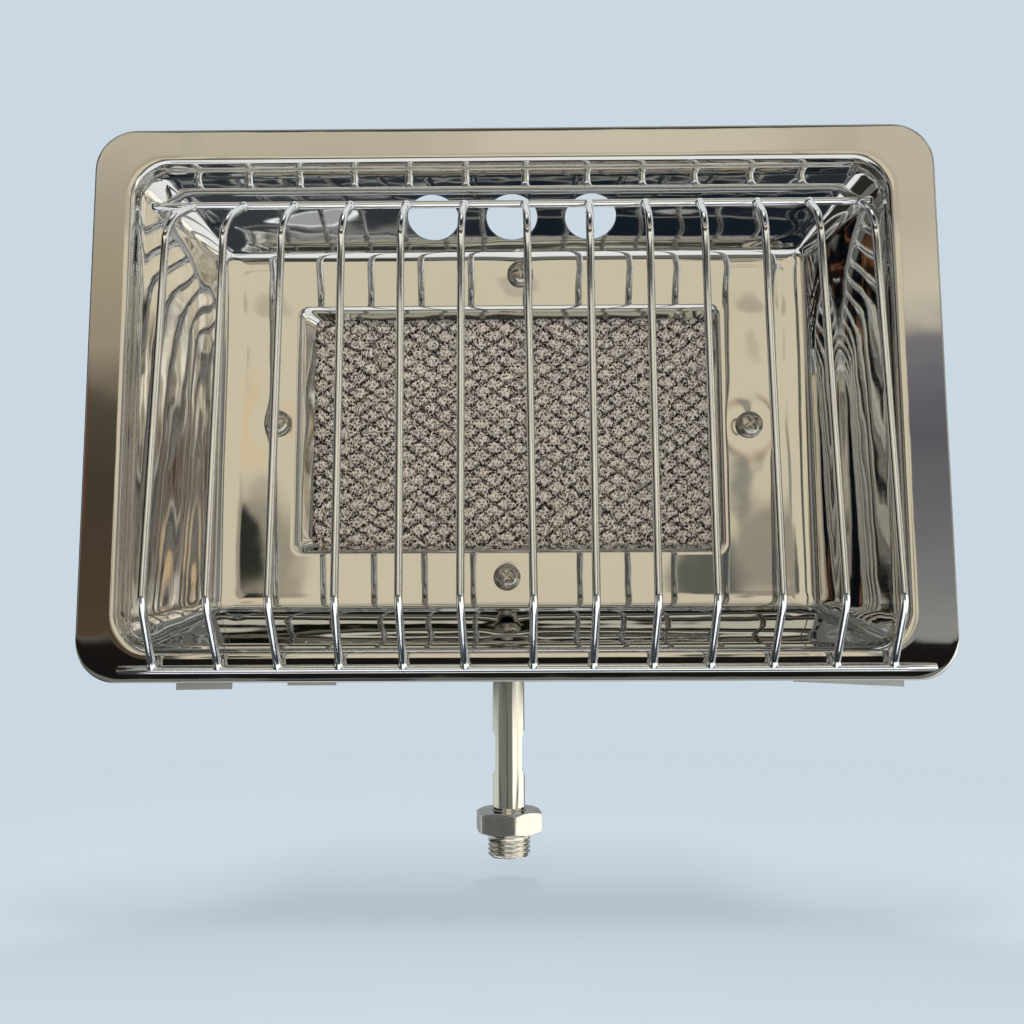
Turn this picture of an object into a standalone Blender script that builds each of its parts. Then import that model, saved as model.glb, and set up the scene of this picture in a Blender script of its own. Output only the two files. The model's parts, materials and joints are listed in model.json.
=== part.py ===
"""Infrared gas burner head.

A pressed reflector dish with a ceramic plaque behind its window, a plenum pan screwed on behind,
a mixer tube with its gas inlet hanging below, and a wire guard hinged on its top bar.
Metres, +Z up. The dish faces -Y. The mixer tube stands on the Z axis, and the origin is the
centre of the inlet fitting's lower end.
"""

import math

import bmesh
import bpy
from mathutils import Matrix, Vector

GAP = 0.0003                    # clearance between pieces that touch

# Dish frame: centre of the flange's front face, seen from the tube's lower end
DISH_CENTRE = Vector((0.0024, -0.0500, 0.1343))
SHEET = 0.0007                  # wall of the pressed reflector and of the pan
CORNER_STEPS = 5                # facets in each corner of a pressed outline

# Reflector outlines: depth, left, right, bottom, top, corner radius
FLOOR_DEPTH = 0.0260
BREAK_DEPTH = 0.0045            # where the bend under the flange turns into the sloping wall
LIP_DEPTH = 0.0035              # how far the window's lip runs back from the floor
BREAK_TOP = 0.0669
FLOOR_TOP = 0.0496
REFLECTOR_OUTLINES = (
    (0.0, -0.1192, 0.1196, -0.0785, 0.0781, 0.0115),
    (0.0, -0.1098, 0.1080, -0.0713, 0.0697, 0.0110),
    (0.0004, -0.1088, 0.1070, -0.0703, 0.0687, 0.0103),
    (0.0014, -0.1082, 0.1066, -0.0697, 0.0680, 0.0097),
    (BREAK_DEPTH, -0.1074, 0.1059, -0.0686, BREAK_TOP, 0.0075),
    (FLOOR_DEPTH, -0.0880, 0.0880, -0.0582, FLOOR_TOP, 0.0030),
    (FLOOR_DEPTH, -0.0654, 0.0623, -0.0414, 0.0334, 0.0030),
    (FLOOR_DEPTH + LIP_DEPTH, -0.0613, 0.0593, -0.0394, 0.0308, 0.0022),
)

# Vent holes in the sloping top wall
VENT_RADIUS = 0.0076
VENT_PITCH = 0.0235
VENT_MIDDLE_X = -0.0004
VENT_DEPTH = 0.0159

# Window centre, which the plaque, the gasket and the pan share
WINDOW_X = -0.0011
WINDOW_Z = -0.0043

# Ceramic plaque and its fibre frame
PLAQUE_HALF_WIDTH = 0.0630
PLAQUE_HALF_HEIGHT = 0.0380
PLAQUE_FRONT = 0.0305
PLAQUE_THICKNESS = 0.0120
PLAQUE_EDGE = 0.0006
GASKET_WALL = 0.0010

# Burner pan: the plenum behind the plaque
PAN_FRONT = FLOOR_DEPTH + SHEET + GAP
PAN_LEDGE = PLAQUE_FRONT + PLAQUE_THICKNESS + GAP
PAN_BACK = 0.0630
PAN_FLANGE_HALF_WIDTH = 0.0800
PAN_FLANGE_HALF_HEIGHT = 0.0525
PAN_MOUTH_MARGIN = 2 * GAP + GASKET_WALL
MOUTH_RADIUS = 0.0026
PAN_STEP = 0.0045               # how far the pan narrows at the ledge behind the plaque
PAN_LEAN = 0.0065               # how far it has narrowed where the chamfer round its back starts
PAN_CHAMFER = 0.0020
PAN_CORNER = 0.0060
PAN_UNDERSIDE = (DISH_CENTRE.z + WINDOW_Z - PLAQUE_HALF_HEIGHT - PAN_MOUTH_MARGIN
                 + PAN_STEP - SHEET)

# Baffle over the tube's outlet
BAFFLE_SHEET = 0.0006
BAFFLE_HALF_WIDTH = 0.0260
BAFFLE_FOOT = 0.0070
BAFFLE_LOW = WINDOW_Z - 0.0240
BAFFLE_HIGH = WINDOW_Z + 0.0160

# Screws through the floor and the pan's flange: name, x, z, turn of the recess in degrees
SCREW_PLACES = (
    ("left", -0.0716, -0.0023, 20),
    ("right", 0.0708, -0.0035, 35),
    ("top", 0.0020, 0.0439, 8),
    ("bottom", -0.0024, -0.0491, 50),
)
SCREW_RADIUS = 0.00195
SCREW_HOLE_RADIUS = 0.0023
HEAD_RADIUS = 0.0040
HEAD_HEIGHT = 0.0027
SHANK_LENGTH = 0.0078
SHANK_CHAMFER = 0.0005
RECESS_FLOOR_RADIUS = 0.0013    # the cross recess tapers from its mouth to its floor
RECESS_MOUTH_RADIUS = 0.0029
RECESS_HEIGHT = 0.0024
RECESS_SQUASH = 0.30            # width of a cross arm as a share of its length
NUT_ACROSS_FLATS = 0.0070
NUT_HEIGHT = 0.0032

# Mixer tube, heights above the inlet's end
TUBE_RADIUS = 0.0050
TUBE_BORE = 0.0042
TUBE_BOTTOM = 0.0098
TUBE_TOP = 0.1240
SLOT_LOW = 0.0243
SLOT_HIGH = 0.0383
SLOT_WIDTH = 0.0056
COLLAR_RADIUS = 0.0061
COLLAR_HEIGHT = 0.0065
COLLAR_TAPER = 0.0005

# Inlet fitting and the jet seated in it
THREAD_RADIUS = 0.00658
THREAD_CHAMFER = 0.0008
HEX_LOW = 0.0072
HEX_HIGH = 0.0140
HEX_ACROSS_FLATS = 0.0190
HEX_TURN = math.radians(10)
HEX_CHAMFER_ANGLE = math.radians(30)
HEX_CHAMFER = 0.0001            # radius that the chamfer takes off the hexagon's inscribed circle
GAS_BORE = 0.0025
SOCKET_FLOOR = 0.0095
JET_SPIGOT_RADIUS = 0.0022
JET_BODY_RADIUS = 0.0036
JET_LOW = 0.0030
JET_TOP = 0.0185
JET_NOSE = 0.0042               # length of the tapered nose
JET_PASSAGE = 0.0012
JET_ORIFICE = 0.0004

# Guard: wires bent in the Y-Z plane between two bars, in the dish frame
WIRE_RADIUS = 0.0011
HINGE_Y = 0.0080
HINGE_Z = 0.0587
TOP_BAR_LEFT = -0.1056
TOP_BAR_RIGHT = 0.1045
BOTTOM_BAR_Y = -WIRE_RADIUS - GAP
BOTTOM_BAR_Z = -0.0749
BOTTOM_BAR_LEFT = -0.1069
BOTTOM_BAR_RIGHT = 0.1127
TOP_BEND = (-0.0025, 0.0503)
BOTTOM_BEND = (-0.0118, -0.0577)
TOP_BEND_RADIUS = 0.0140
BOTTOM_BEND_RADIUS = 0.0100
BEND_STEPS = 4
PIVOT_DEPTH = 0.0140            # length of the cut that each end of the top bar turns in
ROD_PLACES = (                  # x at the bottom bar, the lower bend, the upper bend, the top bar
    (-0.0972, -0.0971, -0.0973, -0.0931),
    (-0.0794, -0.0803, -0.0811, -0.0782),
    (-0.0634, -0.0642, -0.0648, -0.0634),
    (-0.0470, -0.0468, -0.0480, -0.0472),
    (-0.0298, -0.0301, -0.0314, -0.0309),
    (-0.0132, -0.0140, -0.0145, -0.0140),
    (0.0050, 0.0051, 0.0040, 0.0036),
    (0.0210, 0.0214, 0.0216, 0.0222),
    (0.0370, 0.0375, 0.0383, 0.0385),
    (0.0523, 0.0529, 0.0537, 0.0543),
    (0.0689, 0.0697, 0.0705, 0.0709),
    (0.0856, 0.0860, 0.0858, 0.0860),
    (0.1010, 0.1010, 0.1010, 0.1007),
)

# Strip spot-welded behind the lower flange, with tabs below the flange's edge
STRIP_THICKNESS = 0.0010
STRIP_TOP = -0.0730
STRIP_BOTTOM = -0.0778
STRIP_LEFT = -0.0980
STRIP_RIGHT = 0.1080
STRIP_TABS = (                  # left, right, lower edge at the left, lower edge at the right
    (-0.0916, -0.0766, -0.0804, -0.0802),
    (-0.0614, -0.0484, -0.0793, -0.0793),
    (0.0750, 0.1045, -0.0788, -0.0802),
)


def clear_scene():
    for item in list(bpy.data.objects):
        bpy.data.objects.remove(item, do_unlink=True)


def new_collection(name):
    collection = bpy.data.collections.new(name)
    bpy.context.scene.collection.children.link(collection)
    return collection


clear_scene()
PARTS = new_collection("burner_assembly")
CUTTERS = new_collection("burner_assembly_cutters")


def finish(name, colour, roughness, metallic):
    """A Principled material of one colour."""
    material = bpy.data.materials.new(name)
    material.use_nodes = True
    shader = material.node_tree.nodes["Principled BSDF"]
    shader.inputs["Base Color"].default_value = (*colour, 1.0)
    shader.inputs["Roughness"].default_value = roughness
    shader.inputs["Metallic"].default_value = metallic
    return material


def place(name, data, material, parent=None, location=(0.0, 0.0, 0.0)):
    """Put a mesh or a curve in the parts collection as a named object."""
    item = bpy.data.objects.new(name, data)
    if material is not None:
        data.materials.append(material)
    item.parent = parent
    item.location = location
    PARTS.objects.link(item)
    return item


def make_empty(name, location, parent=None):
    empty = bpy.data.objects.new(name, None)
    empty.empty_display_size = 0.01
    empty.location = location
    empty.parent = parent
    PARTS.objects.link(empty)
    return empty


def mesh_from(form, name):
    """Write a bmesh to a mesh, smooth but with its hard edges kept."""
    mesh = bpy.data.meshes.new(name)
    form.to_mesh(mesh)
    form.free()
    mesh.shade_smooth()
    mesh.set_sharp_from_angle(angle=math.radians(35))
    return mesh


def cylinder(radius, length, segments, matrix):
    """A solid cylinder, centred on the matrix and lying along its Z."""
    form = bmesh.new()
    bmesh.ops.create_cone(
        form, cap_ends=True, segments=segments, radius1=radius, radius2=radius,
        depth=length, matrix=matrix)
    return form


def cut(target, form, name, parent=None):
    """Take a closed shape out of an object."""
    cutter = bpy.data.objects.new(name, mesh_from(form, name))
    cutter.parent = parent
    cutter.hide_render = True
    cutter.display_type = 'WIRE'
    CUTTERS.objects.link(cutter)
    modifier = target.modifiers.new(name, 'BOOLEAN')
    modifier.operation = 'DIFFERENCE'
    modifier.object = cutter
    return cutter


def outline(depth, left, right, bottom, top, radius):
    """One rounded rectangle of a pressing, anticlockwise from the front."""
    corners = (
        (right - radius, top - radius),
        (left + radius, top - radius),
        (left + radius, bottom + radius),
        (right - radius, bottom + radius),
    )
    points = []
    for quarter, (x, z) in enumerate(corners):
        for step in range(CORNER_STEPS + 1):
            angle = (quarter + step / CORNER_STEPS) * math.pi / 2
            points.append((x + radius * math.cos(angle), depth, z + radius * math.sin(angle)))
    return points


def window_outline(depth, half_width, half_height, radius):
    return outline(
        depth, WINDOW_X - half_width, WINDOW_X + half_width,
        WINDOW_Z - half_height, WINDOW_Z + half_height, radius)


def pressing(name, outlines, closed, material):
    """A sheet lofted through outlines, front face first, as thick as the sheet."""
    form = bmesh.new()
    rings = [[form.verts.new(point) for point in ring] for ring in outlines]
    for outer, inner in zip(rings, rings[1:]):
        for here in range(len(outer)):
            there = (here + 1) % len(outer)
            form.faces.new((outer[here], outer[there], inner[there], inner[here]))
    if closed:
        form.faces.new(rings[-1])
    item = place(name, mesh_from(form, name), material, DISH)
    shell = item.modifiers.new("sheet", 'SOLIDIFY')
    shell.thickness = SHEET
    shell.offset = -1.0
    shell.use_even_offset = True
    return item


def across_y(x, y, z):
    """A matrix at a point of the dish frame whose Z lies along the dish's depth."""
    return Matrix.Translation((x, y, z)) @ Matrix.Rotation(math.pi / 2, 4, 'X')


def make_reflector():
    reflector = pressing(
        "reflector", [outline(*values) for values in REFLECTOR_OUTLINES], False, STEEL)
    slope = math.atan2(BREAK_TOP - FLOOR_TOP, FLOOR_DEPTH - BREAK_DEPTH)
    vent_z = BREAK_TOP - (VENT_DEPTH - BREAK_DEPTH) * math.tan(slope)
    for number in (-1, 0, 1):
        x = VENT_MIDDLE_X + number * VENT_PITCH
        matrix = Matrix.Translation((x, VENT_DEPTH, vent_z)) @ Matrix.Rotation(-slope, 4, 'X')
        cut(reflector, cylinder(VENT_RADIUS, 0.008, 32, matrix), f"vent_cutter_{number + 2}", DISH)
    for name, x, z, _ in SCREW_PLACES:
        matrix = across_y(x, FLOOR_DEPTH, z)
        cut(reflector, cylinder(SCREW_HOLE_RADIUS, 0.004, 16, matrix), f"screw_cutter_{name}", DISH)
    for name, x in (("left", TOP_BAR_LEFT), ("right", TOP_BAR_RIGHT)):
        matrix = Matrix.Translation((x, HINGE_Y, HINGE_Z)) @ Matrix.Rotation(math.pi / 2, 4, 'Y')
        pivot = cylinder(WIRE_RADIUS + GAP, PIVOT_DEPTH, 16, matrix)
        cut(reflector, pivot, f"pivot_cutter_{name}", DISH)


def make_plaque():
    form = bmesh.new()
    bmesh.ops.create_cube(form, size=1.0)
    size = (2 * PLAQUE_HALF_WIDTH, PLAQUE_THICKNESS, 2 * PLAQUE_HALF_HEIGHT)
    bmesh.ops.scale(form, vec=size, verts=form.verts)
    plaque = place(
        "ceramic_plaque", mesh_from(form, "ceramic_plaque"), CERAMIC, DISH,
        (WINDOW_X, PLAQUE_FRONT + PLAQUE_THICKNESS / 2, WINDOW_Z))
    edge = plaque.modifiers.new("edge", 'BEVEL')
    edge.width = PLAQUE_EDGE
    edge.segments = 1


def make_gasket():
    """Fibre frame round the plaque's edge: two rounded rectangles, filled and extruded."""
    half_thickness = PLAQUE_THICKNESS / 2
    curve = bpy.data.curves.new("plaque_gasket", 'CURVE')
    curve.dimensions = '2D'
    curve.fill_mode = 'BOTH'
    curve.extrude = half_thickness
    for margin, radius in ((GAP, 0.0010), (GAP + GASKET_WALL, MOUTH_RADIUS)):
        ring = outline(
            0.0, -PLAQUE_HALF_WIDTH - margin, PLAQUE_HALF_WIDTH + margin,
            -PLAQUE_HALF_HEIGHT - margin, PLAQUE_HALF_HEIGHT + margin, radius)
        spline = curve.splines.new('POLY')
        spline.points.add(len(ring) - 1)
        for point, (x, _, z) in zip(spline.points, ring):
            point.co = (x, z, 0.0, 1.0)
        spline.use_cyclic_u = True
    gasket = place(
        "plaque_gasket", curve, FIBRE, DISH,
        (WINDOW_X, PLAQUE_FRONT + half_thickness, WINDOW_Z))
    gasket.rotation_euler = (math.pi / 2, 0.0, 0.0)


def make_pan():
    mouth_width = PLAQUE_HALF_WIDTH + PAN_MOUTH_MARGIN
    mouth_height = PLAQUE_HALF_HEIGHT + PAN_MOUTH_MARGIN
    rings = [
        window_outline(PAN_FRONT, PAN_FLANGE_HALF_WIDTH, PAN_FLANGE_HALF_HEIGHT, PAN_CORNER),
        window_outline(PAN_FRONT, mouth_width, mouth_height, MOUTH_RADIUS),
        window_outline(PAN_LEDGE, mouth_width, mouth_height, MOUTH_RADIUS),
    ]
    for depth, inset in (
            (PAN_LEDGE, PAN_STEP), (PAN_BACK - PAN_CHAMFER, PAN_LEAN),
            (PAN_BACK, PAN_LEAN + PAN_CHAMFER)):
        rings.append(window_outline(depth, mouth_width - inset, mouth_height - inset, PAN_CORNER))
    pan = pressing("burner_pan", rings, True, DARK_STEEL)
    for name, x, z, _ in SCREW_PLACES:
        matrix = across_y(x, PAN_FRONT, z)
        cut(pan, cylinder(SCREW_HOLE_RADIUS, 0.004, 16, matrix), f"pan_cutter_{name}", DISH)
    matrix = Matrix.Translation((0.0, 0.0, PAN_UNDERSIDE))
    cut(pan, cylinder(TUBE_RADIUS + GAP, 0.010, 32, matrix), "pan_cutter_tube")


def make_baffle():
    """Bent strip over the tube's outlet: a front web, two legs and two feet."""
    edge = BAFFLE_HALF_WIDTH
    web_y = PAN_LEDGE + BAFFLE_SHEET
    foot_y = PAN_BACK - GAP
    section = (
        (-edge - BAFFLE_FOOT, foot_y), (-edge, foot_y), (-edge, web_y),
        (edge, web_y), (edge, foot_y), (edge + BAFFLE_FOOT, foot_y),
    )
    form = bmesh.new()
    lower = [form.verts.new((WINDOW_X + x, y, BAFFLE_LOW)) for x, y in section]
    upper = [form.verts.new((WINDOW_X + x, y, BAFFLE_HIGH)) for x, y in section]
    for here in range(len(section) - 1):
        form.faces.new((lower[here], lower[here + 1], upper[here + 1], upper[here]))
    baffle = place("baffle", mesh_from(form, "baffle"), DARK_STEEL, DISH)
    shell = baffle.modifiers.new("sheet", 'SOLIDIFY')
    shell.thickness = BAFFLE_SHEET
    shell.offset = 1.0
    shell.use_even_offset = True


def turned(name, profile, segments, material, parent=None, location=(0.0, 0.0, 0.0)):
    """A closed profile of (radius, height) points turned about Z, outer side listed top down."""
    form = bmesh.new()
    points = [form.verts.new((radius, 0.0, height)) for radius, height in profile]
    for here in range(len(points)):
        form.edges.new((points[here], points[(here + 1) % len(points)]))
    item = place(name, mesh_from(form, name), material, parent, location)
    screw = item.modifiers.new("turn", 'SCREW')
    screw.axis = 'Z'
    screw.angle = 2 * math.pi
    screw.steps = segments
    screw.render_steps = segments
    screw.use_merge_vertices = True
    screw.merge_threshold = 0.00001
    screw.use_smooth_shade = True
    return item


def make_tube():
    profile = (
        (TUBE_RADIUS, TUBE_TOP), (TUBE_RADIUS, TUBE_BOTTOM),
        (TUBE_BORE, TUBE_BOTTOM), (TUBE_BORE, TUBE_TOP),
    )
    tube = turned("mixer_tube", profile, 32, TUBE_STEEL)
    half_width = SLOT_WIDTH / 2
    length = TUBE_RADIUS * 3
    form = bmesh.new()
    bmesh.ops.create_cube(form, size=1.0)
    height = SLOT_HIGH - SLOT_LOW - SLOT_WIDTH
    bmesh.ops.scale(form, vec=(length, SLOT_WIDTH, height), verts=form.verts)
    middle = Matrix.Translation((0.0, 0.0, (SLOT_LOW + SLOT_HIGH) / 2))
    bmesh.ops.transform(form, matrix=middle, verts=form.verts)
    cut(tube, form, "slot_cutter")
    for name, z in (("low", SLOT_LOW + half_width), ("high", SLOT_HIGH - half_width)):
        matrix = Matrix.Translation((0.0, 0.0, z)) @ Matrix.Rotation(math.pi / 2, 4, 'Y')
        cut(tube, cylinder(half_width, length, 16, matrix), f"slot_cutter_{name}")


def make_collar():
    """Ferrule brazed on the tube under the pan."""
    inner = TUBE_RADIUS + GAP
    top = PAN_UNDERSIDE - GAP
    low = top - COLLAR_HEIGHT
    profile = (
        (COLLAR_RADIUS, top), (COLLAR_RADIUS, low + COLLAR_TAPER),
        (COLLAR_RADIUS - COLLAR_TAPER, low), (inner, low), (inner, top),
    )
    turned("tube_collar", profile, 32, TUBE_STEEL)


def helper(item):
    """Turn a part into a guide that only other parts' Booleans use."""
    PARTS.objects.unlink(item)
    CUTTERS.objects.link(item)
    item.hide_render = True
    item.display_type = 'WIRE'
    return item


def chamfer_hex(fitting, name, face, side, corner_radius):
    """Cut a hexagon's corners back to a cone; side is 1 for its upper face, -1 for its lower."""
    slope = math.tan(HEX_CHAMFER_ANGLE)
    start = HEX_ACROSS_FLATS / 2 - HEX_CHAMFER
    reach = corner_radius * 1.1
    clear = 0.0005
    profile = [
        (reach, face + side * clear), (reach, face - side * (reach - start) * slope),
        (start - clear / slope, face + side * clear),
    ]
    if side < 0:
        profile.reverse()
    cutter = helper(turned(f"hex_cutter_{name}", profile, 48, None))
    rounding = fitting.modifiers.new(f"chamfer_{name}", 'BOOLEAN')
    rounding.operation = 'DIFFERENCE'
    rounding.object = cutter


def make_fitting():
    """Hexagon with the male thread's body under it, bored through and socketed for the tube."""
    form = bmesh.new()
    corner_radius = HEX_ACROSS_FLATS / 2 / math.cos(math.pi / 6)
    middle = Matrix.Translation((0.0, 0.0, (HEX_LOW + HEX_HIGH) / 2))
    turn = Matrix.Rotation(HEX_TURN, 4, 'Z')
    bmesh.ops.create_cone(
        form, cap_ends=True, segments=6, radius1=corner_radius, radius2=corner_radius,
        depth=HEX_HIGH - HEX_LOW, matrix=middle @ turn)
    fitting = place("inlet_fitting", mesh_from(form, "inlet_fitting"), ZINC)
    thread_top = HEX_LOW + 0.0010
    profile = (
        (THREAD_RADIUS, thread_top), (THREAD_RADIUS, THREAD_CHAMFER),
        (THREAD_RADIUS - THREAD_CHAMFER, 0.0), (0.0, 0.0), (0.0, thread_top),
    )
    thread = helper(turned("thread_body", profile, 32, None))
    union = fitting.modifiers.new("thread", 'BOOLEAN')
    union.operation = 'UNION'
    union.object = thread
    for name, face, side in (("top", HEX_HIGH, 1), ("bottom", HEX_LOW, -1)):
        chamfer_hex(fitting, name, face, side, corner_radius)
    socket = Matrix.Translation((0.0, 0.0, SOCKET_FLOOR + 0.005))
    cut(fitting, cylinder(TUBE_RADIUS + GAP, 0.010, 32, socket), "socket_cutter")
    cut(fitting, cylinder(GAS_BORE, 0.020, 24, Matrix()), "bore_cutter")


def make_jet():
    """Brass injector: spigot in the fitting's bore, body and tapered nose in the tube."""
    seat = SOCKET_FLOOR + GAP
    profile = (
        (JET_PASSAGE, JET_TOP), (JET_SPIGOT_RADIUS, JET_TOP - JET_NOSE * 0.7),
        (JET_BODY_RADIUS, JET_TOP - JET_NOSE), (JET_BODY_RADIUS, seat),
        (JET_SPIGOT_RADIUS, seat), (JET_SPIGOT_RADIUS, JET_LOW),
        (JET_PASSAGE, JET_LOW), (JET_PASSAGE, JET_TOP - JET_NOSE * 0.6),
        (JET_ORIFICE, JET_TOP - JET_NOSE * 0.35), (JET_ORIFICE, JET_TOP),
    )
    turned("gas_jet", profile, 16, BRASS)


def make_screw(name, x, z, turn):
    """Pan-head screw: domed head in front of the floor, shank through to its nut."""
    head = FLOOR_DEPTH - GAP
    profile = (
        (0.0, HEAD_HEIGHT), (HEAD_RADIUS * 0.62, HEAD_HEIGHT - 0.0003),
        (HEAD_RADIUS * 0.92, HEAD_HEIGHT * 0.55), (HEAD_RADIUS, 0.0004), (HEAD_RADIUS * 0.96, 0.0),
        (SCREW_RADIUS, 0.0), (SCREW_RADIUS, -SHANK_LENGTH + SHANK_CHAMFER),
        (SCREW_RADIUS - SHANK_CHAMFER, -SHANK_LENGTH), (0.0, -SHANK_LENGTH),
    )
    screw = turned(f"screw_{name}", profile, 20, STEEL, DISH, (x, head, z))
    screw.rotation_euler = (math.pi / 2, 0.0, 0.0)
    for number in (0, 1):
        form = bmesh.new()
        bmesh.ops.create_cone(
            form, cap_ends=True, segments=4, radius1=RECESS_FLOOR_RADIUS,
            radius2=RECESS_MOUTH_RADIUS, depth=RECESS_HEIGHT,
            matrix=Matrix.Rotation(math.pi / 4, 4, 'Z'))
        bmesh.ops.scale(form, vec=(1.0, RECESS_SQUASH, 1.0), verts=form.verts)
        angle = math.radians(turn) + number * math.pi / 2
        matrix = Matrix.Translation((0.0, 0.0, HEAD_HEIGHT)) @ Matrix.Rotation(angle, 4, 'Z')
        bmesh.ops.transform(form, matrix=matrix, verts=form.verts)
        cut(screw, form, f"recess_cutter_{name}_{number + 1}", screw)


def make_nut(name, x, z):
    radius = NUT_ACROSS_FLATS / 2 / math.cos(math.pi / 6)
    front = PAN_FRONT + SHEET + GAP
    matrix = Matrix.Rotation(math.pi / 2, 4, 'X')
    form = bmesh.new()
    bmesh.ops.create_cone(
        form, cap_ends=True, segments=6, radius1=radius, radius2=radius, depth=NUT_HEIGHT,
        matrix=matrix @ Matrix.Rotation(math.pi / 6, 4, 'Z'))
    place_at = (x, front + NUT_HEIGHT / 2, z)
    nut = place(f"nut_{name}", mesh_from(form, f"nut_{name}"), ZINC, DISH, place_at)
    cut(nut, cylinder(SCREW_HOLE_RADIUS, 0.008, 16, matrix), f"nut_cutter_{name}", nut)


def filleted(points, radii, steps):
    """A polyline with an arc in place of each inner corner."""
    path = [Vector(points[0])]
    for before, corner, after, radius in zip(points, points[1:], points[2:], radii):
        corner = Vector(corner)
        back = (Vector(before) - corner).normalized()
        ahead = (Vector(after) - corner).normalized()
        half = back.angle(ahead) / 2
        centre = corner + (back + ahead).normalized() * radius / math.sin(half)
        start = corner + back * radius / math.tan(half) - centre
        end = corner + ahead * radius / math.tan(half) - centre
        sweep = math.pi - 2 * half
        for step in range(steps + 1):
            share = step / steps
            spoke = start * math.sin((1 - share) * sweep) + end * math.sin(share * sweep)
            path.append(centre + spoke / math.sin(sweep))
    path.append(Vector(points[-1]))
    return path


def wire(name, points, parent):
    """Round wire with flat ends along a path."""
    curve = bpy.data.curves.new(name, 'CURVE')
    curve.dimensions = '3D'
    curve.bevel_depth = WIRE_RADIUS
    curve.bevel_resolution = 2
    curve.use_fill_caps = True
    spline = curve.splines.new('POLY')
    spline.points.add(len(points) - 1)
    for point, place_at in zip(spline.points, points):
        point.co = (*place_at, 1.0)
    return place(name, curve, WIRE_STEEL, parent)


def make_guard():
    """The guard's wires, in the frame of its hinge on the top bar's axis."""
    hinge = make_empty("guard_hinge", (0.0, HINGE_Y, HINGE_Z), DISH)
    origin = Vector((HINGE_Y, HINGE_Z))
    bottom = Vector((BOTTOM_BAR_Y, BOTTOM_BAR_Z)) - origin
    top_bend = Vector(TOP_BEND) - origin
    bottom_bend = Vector(BOTTOM_BEND) - origin
    stand_off = WIRE_RADIUS + GAP
    first = top_bend.normalized() * stand_off
    last = bottom + (bottom_bend - bottom).normalized() * stand_off
    for number, (x_low, x_lower_bend, x_upper_bend, x_high) in enumerate(ROD_PLACES, 1):
        corners = (
            (x_high, *first), (x_upper_bend, *top_bend), (x_lower_bend, *bottom_bend),
            (x_low, *last),
        )
        path = filleted(corners, (TOP_BEND_RADIUS, BOTTOM_BEND_RADIUS), BEND_STEPS)
        wire(f"guard_rod_{number:02d}", path, hinge)
    wire("guard_top_bar", ((TOP_BAR_LEFT, 0.0, 0.0), (TOP_BAR_RIGHT, 0.0, 0.0)), hinge)
    wire("guard_bottom_bar", ((BOTTOM_BAR_LEFT, *bottom), (BOTTOM_BAR_RIGHT, *bottom)), hinge)


def make_strip():
    """Flat strip with tabs, cut from sheet and set behind the lower flange."""
    points = [(STRIP_RIGHT, STRIP_TOP), (STRIP_LEFT, STRIP_TOP), (STRIP_LEFT, STRIP_BOTTOM)]
    for left, right, low_left, low_right in STRIP_TABS:
        points += [(left, STRIP_BOTTOM), (left, low_left), (right, low_right)]
        if right < STRIP_RIGHT:
            points.append((right, STRIP_BOTTOM))
    curve = bpy.data.curves.new("mounting_strip", 'CURVE')
    curve.dimensions = '2D'
    curve.fill_mode = 'BOTH'
    curve.extrude = STRIP_THICKNESS / 2
    spline = curve.splines.new('POLY')
    spline.points.add(len(points) - 1)
    for point, (x, z) in zip(spline.points, points):
        point.co = (x, z, 0.0, 1.0)
    spline.use_cyclic_u = True
    strip = place(
        "mounting_strip", curve, DARK_STEEL, DISH, (0.0, SHEET + GAP + STRIP_THICKNESS / 2, 0.0))
    strip.rotation_euler = (math.pi / 2, 0.0, 0.0)


STEEL = finish("polished_steel", (0.72, 0.69, 0.62), 0.08, 1.0)
WIRE_STEEL = finish("bright_wire", (0.78, 0.77, 0.76), 0.14, 1.0)
DARK_STEEL = finish("plain_steel", (0.42, 0.42, 0.42), 0.35, 1.0)
TUBE_STEEL = finish("tube_steel", (0.60, 0.59, 0.54), 0.28, 1.0)
ZINC = finish("zinc_plate", (0.62, 0.60, 0.56), 0.30, 1.0)
BRASS = finish("brass", (0.72, 0.52, 0.22), 0.30, 1.0)
CERAMIC = finish("ceramic", (0.74, 0.66, 0.62), 0.90, 0.0)
FIBRE = finish("ceramic_fibre", (0.86, 0.84, 0.80), 0.95, 0.0)

DISH = make_empty("dish_frame", DISH_CENTRE)
make_reflector()
make_plaque()
make_gasket()
make_pan()
make_baffle()
make_tube()
make_collar()
make_fitting()
make_jet()
for screw_name, screw_x, screw_z, screw_turn in SCREW_PLACES:
    make_screw(screw_name, screw_x, screw_z, screw_turn)
    make_nut(screw_name, screw_x, screw_z)
make_guard()
make_strip()
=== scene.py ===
"""Looks of a radiant gas burner head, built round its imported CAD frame.

Metres, +Z up. The dish faces -Y, and the mixer tube stands on the Z axis. Shapes of the dish are
given in its own frame: x to the right, depth into the dish from the flange's front, z up.
"""

import json
import math

import bmesh
import bpy
import numpy as np
from mathutils import Matrix, Vector, noise


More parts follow.
